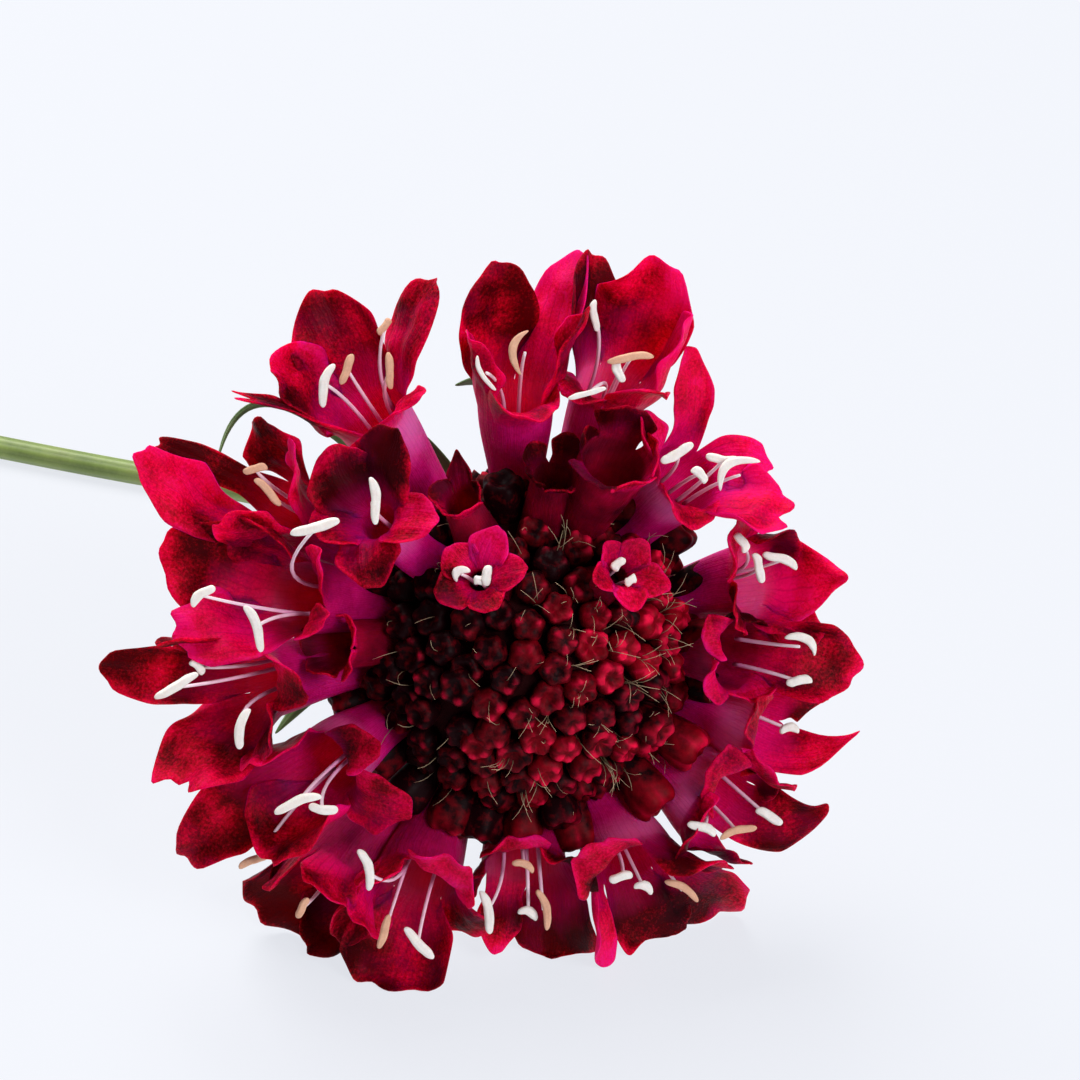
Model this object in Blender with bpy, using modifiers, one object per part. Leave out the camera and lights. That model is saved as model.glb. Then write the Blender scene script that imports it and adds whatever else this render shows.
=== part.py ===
"""Cut scabiosa flower, lying on its side on a flat surface.

The head is a dome of closed buds with a ring of open, two-lipped florets round it. A green
involucre of narrow bracts sits behind the dome, and one bare stem runs back and along the surface.

Units are metres, +Z is up and the surface is z = 0. Lengths are written in millimetres times MM.
A place on the head is given from the head's centre by an azimuth round its axis, from its right and
anticlockwise as seen from the front, by a polar angle from that axis, both in degrees, and by a
reach in millimetres.
"""

import math
from dataclasses import dataclass

import bmesh
import bpy
import numpy as np

MM = 0.001

# Where the head is, and how it leans back on the surface
HEAD_CENTRE = np.array([50.8, -30.4, 23.6]) * MM
HEAD_TURN = math.radians(8.0)
HEAD_LIFT = math.radians(25.0)

# The dome under the buds
DOME_RADIUS = 12.6 * MM
DOME_FRONT = 11.2 * MM
DOME_BACK = 4.4 * MM
DOME_BACK_RADIUS = 6.4 * MM
DOME_BACK_STEEPNESS = 1.6
DOME_SIDES = 14
DOME_RINGS = 4

# The closed buds
BUD_COUNT = 96
BUD_RADIUS = 1.55 * MM
BUD_TOP = 0.95 * MM
BUD_RISE = 1.15 * MM
BUD_FOOT = 2.2 * MM
BUD_POLAR_LIMIT = 93.0
BUD_SIDES = 5
BUD_RINGS = 2
GOLDEN_ANGLE = math.radians(137.508)

# The angles in degrees that the buds keep to a tube's root, an opening floret and a large bud
TUBE_ROOM = 8.5
YOUNG_ROOM = 11.0
LARGE_BUD_ROOM = 7.0

# The corollas
PETAL_THICKNESS = 0.6 * MM
TUBE_ROOT = 9.5 * MM
TUBE_ROOT_POLAR = 88.0
TUBE_ROOT_DROP = 6.0
TUBE_WAIST_RADIUS = 1.6 * MM
TUBE_WAIST_SHARE = 0.42
TUBE_PULL = 0.45
TUBE_ROWS = 2
LOBES = 5
ACROSS = 2
LOBE_LEAN = math.radians(14.0)
LOBE_PULL = 0.42
LOBE_BASE_SHARE = 0.3
LOBE_BASE_WIDTH = 0.6
LOBE_WIDEST = 0.55
LOBE_TAPER_START = 0.6
LOBE_TIP_WIDTH = 0.85
ROUNDNESS = 0.13
NOTCH_WIDTH = 0.3
RUFFLE = 0.07
RUFFLE_WAVES = 9.0
RUFFLE_SLANT = 2.4
RUFFLE_SHIFT = 1.7
LOWEST_SHEET = -0.05 * MM
SURFACE_SOFTNESS = 0.05 * MM
SURFACE_REACH = 8.0

# The stamens
FILAMENT_RADIUS = 0.35 * MM
FILAMENT_SEAT = 0.92
ANTHER_RADIUS = 0.55 * MM
ANTHER_END_SHARE = 0.6

# The involucre
CUP_FRONT = -4.9 * MM
CUP_BACK = -9.2 * MM
CUP_RADIUS = 6.4 * MM
CUP_BACK_RADIUS = 2.1 * MM
CUP_SIDES = 12
BRACT_ROOT = 3.6 * MM
BRACT_SINK = 1.6 * MM
BRACT_PULL = 0.5
BRACT_COUNTER_SWEEP = 0.4
BRACT_TAPER = 0.75
BRACT_TAPER_POWER = 1.8
BRACT_KEEL = 0.3
BRACT_THICKNESS = 0.6 * MM
BRACT_ROWS = 5

# How near two points touch, and how far one of them then sinks
TOUCH = 0.0002 * MM
PARTING = 0.02 * MM

# The stem
STEM_RADIUS = 1.15 * MM
STEM_GAP = 0.3 * MM
STEM_NECK = 3.0 * MM
STEM_POINTS = 44
ROUTE_STEPS = 24

# What the three nodes are dressed with: colour and roughness
PETAL_FINISH = ((0.2, 0.002, 0.02), 0.55)
BRACT_FINISH = ((0.12, 0.2, 0.04), 0.6)
STEM_FINISH = ((0.2, 0.3, 0.05), 0.5)


@dataclass(frozen=True)
class Lobe:
    """One lobe of a corolla, by the place of its tip on the head and its width in millimetres."""

    azimuth: float
    polar: float
    reach: float
    width: float
    notch: float = 0.0
    curl: float = 0.12


@dataclass(frozen=True)
class Anther:
    """An anther, by the place of its middle on the head, its roll about the head's axis and length."""

    azimuth: float
    polar: float
    reach: float
    roll: float
    length: float


@dataclass(frozen=True)
class Floret:
    """An open floret, by the place of its mouth and the polar angle that the mouth faces."""

    azimuth: float
    polar: float
    reach: float
    face: float
    lobes: tuple
    anthers: tuple = ()
    turn: float = 0.0
    mouth: float = 2.2
    rows: int = 3


@dataclass(frozen=True)
class Bract:
    """A green bract: its azimuth, the polar angles at its root and tip, its length and its width."""

    azimuth: float
    polar: float
    tip_polar: float
    length: float
    width: float
    sweep: float = 0.0


# The open florets, anticlockwise from the right
FLORETS = (
    Floret(13, 78, 19.0, 52, (
        Lobe(9, 78, 27.5, 8.0, 0.12), Lobe(17, 80, 24.5, 5.5), Lobe(30, 60, 20.5, 4.0),
        Lobe(6, 58, 19.0, 4.0), Lobe(359, 72, 24.8, 5.0),
    ), (
        Anther(27, 62, 21.5, -75, 1.8), Anther(19, 64, 21.5, -72, 2.6), Anther(18, 68, 23.0, -31, 3.2),
    ), rows=2),
    Floret(47, 68, 20.5, 42, (
        Lobe(60, 78, 28.8, 4.0, 0.0, 0.25), Lobe(65, 66, 24.0, 3.5, 0.0, 0.3), Lobe(39, 53, 20.5, 4.0),
        Lobe(26, 66, 26.0, 6.0, 0.15), Lobe(33, 74, 26.6, 5.0, 0.12),
    ), (
        Anther(55, 58, 24.0, 24, 3.0), Anther(46, 60, 25.5, -14, 3.0), Anther(42, 58, 26.0, 34, 4.0),
    ), rows=2),
    Floret(69, 82, 22.5, 55, (
        Lobe(70, 78, 34.5, 7.5), Lobe(77, 88, 33.0, 5.0), Lobe(81, 66, 24.0, 4.0),
        Lobe(63, 62, 27.5, 5.0), Lobe(63, 73, 32.0, 4.5, 0.0, 0.3),
    ), (Anther(71, 65, 28.5, 0, 3.6), Anther(78, 60, 26.0, 11, 3.0))),
    Floret(90, 80, 20.8, 58, (
        Lobe(90, 82, 32.5, 6.5), Lobe(98, 70, 29.0, 5.0, 0.0, 0.3), Lobe(86, 58, 24.0, 5.0),
        Lobe(80, 67, 31.5, 5.5, 0.0, 0.25), Lobe(79, 88, 33.0, 4.5),
    ), (Anther(90, 64, 28.5, 75, 3.5), Anther(97, 66, 26.5, 113, 3.2))),
    Floret(120, 80, 24.0, 58, (
        Lobe(117, 86, 34.5, 6.5), Lobe(129, 77, 33.0, 7.0, 0.1), Lobe(130, 61, 30.0, 3.5),
        Lobe(109, 62, 27.5, 2.8), Lobe(101, 80, 32.5, 5.2),
    ), (Anther(123, 68, 31.0, 70, 3.4), Anther(119, 70, 30.5, 62, 2.4), Anther(113, 70, 28.5, 92, 2.8))),
    Floret(134, 60, 20.5, 34, (
        Lobe(129, 68, 26.5, 5.5), Lobe(144, 62, 25.0, 4.0), Lobe(148, 47, 21.0, 4.5),
        Lobe(121, 45, 21.5, 4.2), Lobe(118, 62, 26.5, 5.5),
    ), (Anther(130, 50, 26.5, -85, 3.8),), rows=2),
    Floret(146, 82, 23.0, 58, (
        Lobe(148, 80, 36.5, 5.8), Lobe(136, 86, 34.0, 4.5, 0.35), Lobe(152, 70, 30.5, 4.6),
        Lobe(133, 66, 29.5, 3.2), Lobe(137, 75, 32.0, 5.0),
    ), (Anther(141, 71, 29.5, 0, 1.9), Anther(143, 69, 28.0, -47, 3.0))),
    Floret(161, 72, 20.8, 50, (
        Lobe(158, 81, 32.0, 7.5), Lobe(171, 76, 30.5, 5.5, 0.15), Lobe(160, 54, 22.5, 3.0),
        Lobe(146, 56, 25.0, 3.0), Lobe(149, 71, 29.0, 5.5),
    ), (Anther(162, 63, 31.5, 40, 2.4), Anther(166, 59, 27.5, -73, 4.0), Anther(142, 52, 28.5, 11, 4.0))),
    Floret(182, 80, 22.0, 56, (
        Lobe(178, 86, 35.5, 5.5), Lobe(196, 76, 33.0, 8.5, 0.3), Lobe(192, 61, 26.0, 4.0),
        Lobe(181, 55, 23.0, 4.0), Lobe(172, 74, 32.0, 4.5),
    ), (Anther(178, 68, 31.5, 24, 4.0), Anther(185, 59, 28.5, 70, 3.2))),
    Floret(204, 75, 19.5, 50, (
        Lobe(208, 88, 34.0, 5.5), Lobe(213, 70, 28.5, 8.5), Lobe(225, 57, 18.5, 5.0),
        Lobe(203, 55, 17.5, 3.5), Lobe(194, 66, 27.0, 5.0),
    ), (Anther(203, 57, 26.5, 13, 4.0), Anther(207, 56, 25.0, -14, 2.2))),
    Floret(227, 88, 24.5, 72, (
        Lobe(223, 97, 33.0, 8.0), Lobe(231, 91, 32.0, 6.0), Lobe(232, 74, 27.0, 3.5),
        Lobe(225, 72, 27.0, 3.5), Lobe(219, 86, 30.0, 4.0),
    ), (Anther(223, 74, 29.0, 50, 1.8),), rows=2),
    Floret(240, 80, 21.5, 52, (
        Lobe(244, 85.5, 32.8, 8.3), Lobe(257, 82, 25.0, 4.5), Lobe(242, 60, 20.0, 5.0),
        Lobe(228, 68, 24.5, 4.0), Lobe(234, 84, 29.5, 5.0),
    ), (Anther(225, 62, 24.5, -80, 3.5), Anther(243, 68, 27.0, -52, 3.4), Anther(237, 71, 27.0, 68, 2.8))),
    Floret(265, 80, 18.5, 50, (
        Lobe(271, 88, 28.2, 7.0), Lobe(279, 64, 18.5, 5.0), Lobe(258, 64, 16.5, 3.2),
        Lobe(249, 76, 21.5, 3.5), Lobe(260, 84, 26.5, 3.2),
    ), (
        Anther(263, 66, 19.0, -30, 2.0), Anther(268, 69, 22.5, -80, 3.4), Anther(255, 68, 23.0, -79, 3.8),
    ), rows=2),
    Floret(294, 78, 20.0, 50, (
        Lobe(293, 90, 29.5, 6.0), Lobe(301, 95, 30.5, 7.0, 0.1), Lobe(309, 71, 25.5, 4.5),
        Lobe(278, 58, 18.5, 5.0), Lobe(281, 83, 28.2, 3.4),
    ), (Anther(287, 64, 21.5, 0, 2.0), Anther(291, 65, 23.0, -30, 1.7), Anther(298, 71, 24.5, -36, 3.4))),
    Floret(316, 80, 20.8, 55, (
        Lobe(327, 84, 29.5, 5.6), Lobe(327, 78, 24.0, 5.0), Lobe(320, 64, 19.0, 4.0),
        Lobe(307, 62, 21.5, 4.0), Lobe(311, 72, 25.5, 5.0),
    ), (Anther(321, 72, 25.0, -28, 2.6), Anther(310, 63, 21.8, -31, 2.6), Anther(315, 66, 24.0, 15, 3.2))),
    Floret(338, 80, 21.0, 58, (
        Lobe(341, 86, 29.5, 4.5), Lobe(344, 90, 26.5, 4.5), Lobe(348, 74, 24.5, 4.0),
        Lobe(346, 64, 20.5, 4.5), Lobe(329, 70, 24.5, 6.0),
    ), (Anther(339, 73, 23.2, -5, 1.7),), mouth=3.0, rows=2),
    Floret(356, 66, 18.0, 42, (
        Lobe(352, 78, 28.0, 6.5), Lobe(5, 66, 20.0, 6.0), Lobe(3, 54, 16.5, 4.0),
        Lobe(346, 54, 16.8, 4.0), Lobe(344, 65, 20.0, 5.5),
    ), (Anther(359, 65, 23.5, -38, 3.0), Anther(351, 66, 23.5, -6, 2.2)), rows=2),
)

# The florets that are opening, nearer the middle
YOUNG_FLORETS = (
    Floret(67, 58, 20.5, 50, (
        Lobe(75, 62, 22.5, 3.6), Lobe(68, 64, 24.8, 3.8), Lobe(60, 60, 23.4, 3.6),
        Lobe(61, 51, 21.6, 3.6), Lobe(74, 50, 20.5, 3.6),
    ), rows=2),
    Floret(171.5, 68, 17.0, 58, (
        Lobe(171, 74, 20.0, 3.0), Lobe(163, 67, 19.5, 3.0), Lobe(164, 57, 18.2, 3.0),
        Lobe(177, 57, 18.2, 3.0), Lobe(179, 67, 19.8, 3.0),
    ), rows=2),
    Floret(121, 36, 15.6, 34, (
        Lobe(124, 46, 17.2, 3.0), Lobe(105, 44, 17.2, 3.0), Lobe(104, 30, 17.2, 3.0),
        Lobe(127, 25, 17.2, 3.0), Lobe(134, 37, 17.2, 3.0),
    ), (Anther(123, 36, 17.6, 40, 1.4), Anther(116, 35, 17.6, 80, 1.4)), mouth=1.2, rows=1),
    Floret(48, 38, 15.6, 38, (
        Lobe(60, 39, 17.0, 2.6), Lobe(48, 46, 17.2, 2.8), Lobe(34, 42, 17.2, 3.0),
        Lobe(40, 32, 17.2, 2.8), Lobe(58, 30, 16.8, 2.6),
    ), (Anther(52, 38, 17.4, 60, 1.2),), mouth=1.2, rows=1),
)

# Large buds about to open, at the dome's edge: azimuth, polar angle and scale
LARGE_BUDS = (
    (241, 79, 1.35), (250, 80, 1.3), (287, 76, 1.35), (324, 72, 1.4), (227, 84, 1.2),
    (275, 74, 1.2), (0, 74, 1.2), (194, 84, 1.2), (150, 80, 1.2), (35, 80, 1.25),
    (108, 57, 2.0), (82, 60, 1.9),
)

BRACTS = (
    Bract(8, 112, 108, 14, 2.2), Bract(38, 112, 108, 13, 2.0), Bract(62, 112, 107, 14, 2.2),
    Bract(87, 112, 104, 17, 2.4), Bract(106, 112, 104, 21, 1.8), Bract(131, 114, 106, 30, 1.3, 16.0),
    Bract(158, 112, 106, 15, 2.2), Bract(187, 112, 102, 19, 2.4), Bract(208, 114, 106, 29, 1.8),
    Bract(236, 112, 108, 14, 2.2), Bract(270, 112, 108, 13, 2.2), Bract(302, 112, 108, 14, 2.0),
    Bract(336, 112, 108, 15, 2.2),
)

# The stem's middle line after the neck, in millimetres from the point under the head's centre
STEM_ROUTE = (
    (-2.4, 16.5, 16.0), (-4.2, 25.0, 11.6), (-6.8, 33.5, 7.2), (-11.0, 42.0, 3.4), (-17.5, 49.0, 1.5),
    (-26.5, 54.5, 1.15), (-39.9, 58.5, 1.15), (-53.5, 63.0, 1.15), (-72.0, 69.5, 1.15),
    (-92.0, 75.0, 1.15), (-112.0, 78.5, 1.15), (-130.0, 80.5, 1.15),
)


def unit(vector):
    """The vector at length one."""
    return vector / np.linalg.norm(vector)


HEAD_AXIS = np.array([
    math.sin(HEAD_TURN) * math.cos(HEAD_LIFT),
    -math.cos(HEAD_TURN) * math.cos(HEAD_LIFT),
    math.sin(HEAD_LIFT),
])
HEAD_UP = unit(np.array([0.0, 0.0, 1.0]) - HEAD_AXIS * HEAD_AXIS[2])
HEAD_RIGHT = np.cross(HEAD_UP, HEAD_AXIS)


def direction(azimuth, polar):
    """The unit direction at an azimuth and polar angle in degrees."""
    turn = math.radians(azimuth)
    lean = math.radians(polar)
    side = math.cos(turn) * HEAD_RIGHT + math.sin(turn) * HEAD_UP
    return math.sin(lean) * side + math.cos(lean) * HEAD_AXIS


def place(azimuth, polar, reach):
    """The point that far, in millimetres, from the head's centre."""
    return HEAD_CENTRE + reach * MM * direction(azimuth, polar)


def eased(share):
    """A share from 0 to 1 with a slow start and a slow end."""
    share = min(max(share, 0.0), 1.0)
    return share * share * (3.0 - 2.0 * share)


def bezier(start, middle, end, share):
    """The point and the unit tangent at that share of a quadratic curve."""
    rest = 1.0 - share
    point = rest * rest * start + 2.0 * rest * share * middle + share * share * end
    tangent = rest * (middle - start) + share * (end - middle)
    return point, unit(tangent)


def above_surface(point):
    """The point, eased up where it would sink below the lowest place for a petal's middle."""
    height = (point[2] - LOWEST_SHEET) / SURFACE_SOFTNESS
    if height > SURFACE_REACH:
        return point
    lifted = LOWEST_SHEET + SURFACE_SOFTNESS * math.log1p(math.exp(height))
    return np.array([point[0], point[1], lifted])


class Corolla:
    """The sheet of one floret: a tube that widens to a mouth, and five lobes round the mouth."""

    def __init__(self, floret):
        self.radius = floret.mouth * MM
        self.mouth = place(floret.azimuth, floret.polar, floret.reach)
        self.facing = direction(floret.azimuth + floret.turn, floret.face)
        root_polar = min(floret.polar + TUBE_ROOT_DROP, TUBE_ROOT_POLAR)
        self.root = HEAD_CENTRE + TUBE_ROOT * direction(floret.azimuth, root_polar)
        self.bend = self.mouth - self.facing * TUBE_PULL * np.linalg.norm(self.mouth - self.root)
        outward = direction(floret.azimuth, 90.0)
        self.outer = unit(outward - self.facing * (outward @ self.facing))
        self.side = np.cross(self.facing, self.outer)
        found = [(self.angle_of(place(lobe.azimuth, lobe.polar, lobe.reach)), lobe) for lobe in floret.lobes]
        found.sort(key=lambda pair: pair[0])
        self.lobes = [lobe for _, lobe in found]
        steps = [angle - math.tau * k / LOBES for k, (angle, _) in enumerate(found)]
        self.first = math.atan2(sum(map(math.sin, steps)), sum(map(math.cos, steps)))

    def angle_of(self, point):
        """The angle of a point round the mouth's axis, from the outer side."""
        arm = point - self.mouth
        return math.atan2(arm @ self.side, arm @ self.outer) % math.tau

    def ray(self, angle):
        """The unit direction across the mouth at that angle."""
        return math.cos(angle) * self.outer + math.sin(angle) * self.side

    def tube_point(self, angle, share):
        """A point of the tube, from its root at share 0 to the mouth at share 1."""
        centre, tangent = bezier(self.root, self.bend, self.mouth, share)
        across = self.ray(angle)
        across = unit(across - tangent * (across @ tangent))
        if share < TUBE_WAIST_SHARE:
            radius = TUBE_WAIST_RADIUS * share / TUBE_WAIST_SHARE
        else:
            widening = eased((share - TUBE_WAIST_SHARE) / (1.0 - TUBE_WAIST_SHARE))
            radius = TUBE_WAIST_RADIUS + (self.radius - TUBE_WAIST_RADIUS) * widening
        return centre + radius * across

    def lobe_point(self, index, share, offset):
        """A point of a lobe: share runs from the mouth to the tip, offset from -1 to 1 across."""
        lobe = self.lobes[index]
        middle_angle = self.first + math.tau * index / LOBES
        base_angle = middle_angle + offset * math.pi / LOBES
        ring = self.mouth + self.radius * self.ray(base_angle)
        start = self.mouth + self.radius * self.ray(middle_angle)
        tip = place(lobe.azimuth, lobe.polar, lobe.reach)
        length = np.linalg.norm(tip - start)
        lean = math.cos(LOBE_LEAN) * self.facing + math.sin(LOBE_LEAN) * self.ray(middle_angle)
        round_tip = 1.0 - ROUNDNESS * offset * offset - lobe.notch * math.exp(-((offset / NOTCH_WIDTH) ** 2))
        along = share * round_tip
        centre, tangent = bezier(start, start + LOBE_PULL * length * lean, tip, along)
        lateral = np.cross(self.facing, self.ray(self.angle_of(centre)))
        lateral = unit(lateral - tangent * (lateral @ tangent))
        inward = np.cross(tangent, lateral)
        grown = eased(along / LOBE_BASE_SHARE)
        half = 0.5 * lobe.width * MM
        half *= LOBE_BASE_WIDTH + (1.0 - LOBE_BASE_WIDTH) * eased(along / LOBE_WIDEST)
        half *= 1.0 - (1.0 - LOBE_TIP_WIDTH) * eased((along - LOBE_TAPER_START) / (1.0 - LOBE_TAPER_START))
        arc = offset * half * grown + (1.0 - grown) * self.radius * offset * math.pi / LOBES
        bend = (lobe.curl / MM) * grown + (1.0 - grown) / self.radius
        point = centre + lateral * math.sin(bend * arc) / bend + inward * (1.0 - math.cos(bend * arc)) / bend
        start_of_wave = RUFFLE_SHIFT * index + math.radians(3.0 * lobe.azimuth)
        wave = math.sin(RUFFLE_WAVES * along + RUFFLE_SLANT * offset + start_of_wave)
        point = point + inward * RUFFLE * lobe.width * MM * wave * along * abs(offset)
        hold = eased(share / LOBE_BASE_SHARE)
        return above_surface(ring * (1.0 - hold) + point * hold)


def grid_sheet(columns, rows):
    """A flat grid of that many faces whose points carry their column and row as x and y."""
    sheet = bmesh.new()
    bmesh.ops.create_grid(sheet, x_segments=columns, y_segments=rows, size=1.0)
    for vertex in sheet.verts:
        vertex.co.x = round((vertex.co.x + 1.0) * 0.5 * columns)
        vertex.co.y = round((vertex.co.y + 1.0) * 0.5 * rows)
    return sheet


def finish_sheet(sheet, name, thickness):
    """Triangulates an open sheet, gives it its thickness on both sides and returns it as an object."""
    bmesh.ops.remove_doubles(sheet, verts=sheet.verts, dist=1e-6)
    bmesh.ops.triangulate(sheet, faces=sheet.faces)
    bmesh.ops.recalc_face_normals(sheet, faces=sheet.faces)
    mesh = bpy.data.meshes.new(name)
    sheet.to_mesh(mesh)
    sheet.free()
    piece = bpy.data.objects.new(name, mesh)
    bpy.context.scene.collection.objects.link(piece)
    wall = piece.modifiers.new("wall", "SOLIDIFY")
    wall.thickness = thickness
    wall.offset = 0.0
    return as_plain_mesh(piece)


def as_plain_mesh(piece):
    """Replaces an object by a new one that holds its evaluated mesh."""
    graph = bpy.context.evaluated_depsgraph_get()
    mesh = bpy.data.meshes.new_from_object(piece.evaluated_get(graph))
    mesh.transform(piece.matrix_world)
    name = piece.name
    bpy.data.objects.remove(piece)
    plain = bpy.data.objects.new(name, mesh)
    bpy.context.scene.collection.objects.link(plain)
    return plain


def welded(piece):
    """Joins the points that meet, such as a curve's caps and its sides, and turns all faces out."""
    shape = bmesh.new()
    shape.from_mesh(piece.data)
    bmesh.ops.remove_doubles(shape, verts=shape.verts, dist=1e-6)
    bmesh.ops.recalc_face_normals(shape, faces=shape.faces)
    shape.to_mesh(piece.data)
    shape.free()
    return piece


def make_corolla(name, floret):
    """The solid of one floret, from a grid that is cut between the lobes and rolled into a tube."""
    shape = Corolla(floret)
    columns = LOBES * ACROSS
    sheet = grid_sheet(columns, TUBE_ROWS + floret.rows)
    cuts = []
    for edge in sheet.edges:
        first, second = edge.verts
        on_border = first.co.x == second.co.x and first.co.x % ACROSS == 0
        if on_border and 0 < first.co.x < columns and min(first.co.y, second.co.y) >= TUBE_ROWS:
            cuts.append(edge)
    bmesh.ops.split_edges(sheet, edges=cuts)
    places = []
    for vertex in sheet.verts:
        column, row = vertex.co.x, vertex.co.y
        if row <= TUBE_ROWS:
            angle = shape.first + (column / ACROSS - 0.5) * math.tau / LOBES
            share = (0.0, TUBE_WAIST_SHARE, 1.0)[int(row)]
            places.append(above_surface(shape.tube_point(angle, share)))
            continue
        middle = vertex.link_faces[0].calc_center_median().x
        index = min(int(middle / ACROSS), LOBES - 1)
        offset = 2.0 * (column / ACROSS - index) - 1.0
        places.append(shape.lobe_point(index, (row - TUBE_ROWS) / floret.rows, offset))
    for vertex, point in zip(sheet.verts, places):
        vertex.co = point
    piece = finish_sheet(sheet, name, PETAL_THICKNESS)
    fill_root(piece, shape)
    return piece


def fill_root(piece, shape):
    """Closes a tube's hollow at its waist, which leaves it solid from there to its root."""
    solid = bmesh.new()
    solid.from_mesh(piece.data)
    start = (shape.bend - shape.root) / np.linalg.norm(shape.bend - shape.root)
    ends = [v for v in solid.verts if np.linalg.norm(np.array(v.co) - shape.root) < 0.9 * PETAL_THICKNESS]
    inner = max(ends, key=lambda vertex: (np.array(vertex.co) - shape.root) @ start)
    bmesh.ops.delete(solid, geom=[inner], context="VERTS")
    bmesh.ops.holes_fill(solid, edges=[edge for edge in solid.edges if edge.is_boundary], sides=0)
    bmesh.ops.recalc_face_normals(solid, faces=solid.faces)
    solid.to_mesh(piece.data)
    solid.free()


def make_tube(name, points, radii, roundness=0):
    """A round tube along the points, from a curve with filled caps, as a mesh."""
    curve = bpy.data.curves.new(name, "CURVE")
    curve.dimensions = "3D"
    curve.bevel_depth = 1.0
    curve.bevel_resolution = roundness
    curve.use_fill_caps = True
    spline = curve.splines.new("POLY")
    spline.points.add(len(points) - 1)
    for knot, point, radius in zip(spline.points, points, radii):
        knot.co = (*point, 1.0)
        knot.radius = radius
    piece = bpy.data.objects.new(name, curve)
    bpy.context.scene.collection.objects.link(piece)
    bpy.context.view_layer.update()
    return welded(as_plain_mesh(piece))


def make_stamens(name, floret):
    """The filaments and anthers of one floret, each a slim tube."""
    shape = Corolla(floret)
    pieces = []
    for number, anther in enumerate(floret.anthers):
        middle = place(anther.azimuth, anther.polar, anther.reach)
        angle = shape.angle_of(middle)
        start = shape.mouth + FILAMENT_SEAT * shape.radius * shape.ray(angle) - FILAMENT_RADIUS * shape.facing
        pieces.append(make_tube(f"{name}_filament_{number}", [start, middle], [FILAMENT_RADIUS] * 2))
        roll = math.radians(anther.roll)
        half = 0.5 * anther.length * MM * (math.cos(roll) * HEAD_RIGHT + math.sin(roll) * HEAD_UP)
        route = [middle - half, middle, middle + half]
        radii = [ANTHER_END_SHARE * ANTHER_RADIUS, ANTHER_RADIUS, ANTHER_END_SHARE * ANTHER_RADIUS]
        pieces.append(make_tube(f"{name}_anther_{number}", route, radii))
    return pieces


def head_frame():
    """The matrix whose columns are the head's right, up and axis, with the head's centre."""
    frame = np.eye(4)
    frame[:3, 0] = HEAD_RIGHT
    frame[:3, 1] = HEAD_UP
    frame[:3, 2] = HEAD_AXIS
    frame[:3, 3] = HEAD_CENTRE
    return frame


def in_head(points):
    """Points given along the head's right, up and axis, as places in the scene."""
    frame = head_frame()
    return points @ frame[:3, :3].T + frame[:3, 3]


def mesh_object(shape, name):
    """A new object from a bmesh, which is freed."""
    mesh = bpy.data.meshes.new(name)
    shape.to_mesh(mesh)
    shape.free()
    piece = bpy.data.objects.new(name, mesh)
    bpy.context.scene.collection.objects.link(piece)
    return piece


def make_dome():
    """The core that the buds stand on: half an ellipsoid in front, a short cone frustum behind."""
    shape = bmesh.new()
    bmesh.ops.create_uvsphere(shape, u_segments=DOME_SIDES, v_segments=2 * DOME_RINGS, radius=1.0)
    for vertex in shape.verts:
        x, y, z = vertex.co
        if z < -1e-4:
            depth = -z
            girth = math.hypot(x, y) or 1.0
            wide = (DOME_RADIUS + (DOME_BACK_RADIUS - DOME_RADIUS) * depth) if girth > 1e-4 else 0.0
            x, y, z = x / girth * wide, y / girth * wide, -DOME_BACK * min(1.0, DOME_BACK_STEEPNESS * depth)
        else:
            x, y, z = x * DOME_RADIUS, y * DOME_RADIUS, z * DOME_FRONT
        vertex.co = in_head(np.array([x, y, z]))
    return mesh_object(shape, "dome")


def dome_surface(azimuth, polar):
    """The point and the outward normal of the dome in that direction, in degrees."""
    turn, lean = math.radians(azimuth), math.radians(polar)
    along = np.array([math.sin(lean) * math.cos(turn), math.sin(lean) * math.sin(turn), math.cos(lean)])
    sizes = np.array([DOME_RADIUS, DOME_RADIUS, DOME_FRONT])
    point = along / np.linalg.norm(along / sizes)
    return point, unit(point / sizes ** 2)


def make_bud(name, azimuth, polar, scale):
    """One closed bud on the dome: a five-sided knob, fattest past its middle."""
    point, normal = dome_surface(azimuth, polar)
    side = unit(np.cross(np.array([0.0, 0.0, 1.0]) + 0.1 * normal[::-1], normal))
    other = np.cross(normal, side)
    shape = bmesh.new()
    bmesh.ops.create_uvsphere(shape, u_segments=BUD_SIDES, v_segments=BUD_RINGS, radius=1.0)
    for vertex in shape.verts:
        x, y, z = np.array(vertex.co) * scale
        rise = BUD_RISE + z * (BUD_TOP if z > 0.0 else BUD_FOOT)
        spot = point + BUD_RADIUS * (x * side + y * other) + rise * normal
        vertex.co = in_head(spot)
    return mesh_object(shape, name)


def bud_places():
    """Azimuths and polar angles of the buds, evenly over the dome, clear of the young florets."""
    taken = [(floret.azimuth, floret.polar, YOUNG_ROOM) for floret in YOUNG_FLORETS]
    taken += [(azimuth, polar, LARGE_BUD_ROOM * scale) for azimuth, polar, scale in LARGE_BUDS]
    taken += [(floret.azimuth, TUBE_ROOT_POLAR, TUBE_ROOM) for floret in FLORETS]
    cover = 1.0 - math.cos(math.radians(BUD_POLAR_LIMIT))
    for number in range(BUD_COUNT):
        polar = math.degrees(math.acos(1.0 - cover * (number + 0.5) / BUD_COUNT))
        azimuth = math.degrees(number * GOLDEN_ANGLE) % 360.0
        here = direction(azimuth, polar)
        gaps = [math.degrees(math.acos(min(1.0, here @ direction(a, p)))) - room for a, p, room in taken]
        if min(gaps) > 0.0:
            yield azimuth, polar


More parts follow.
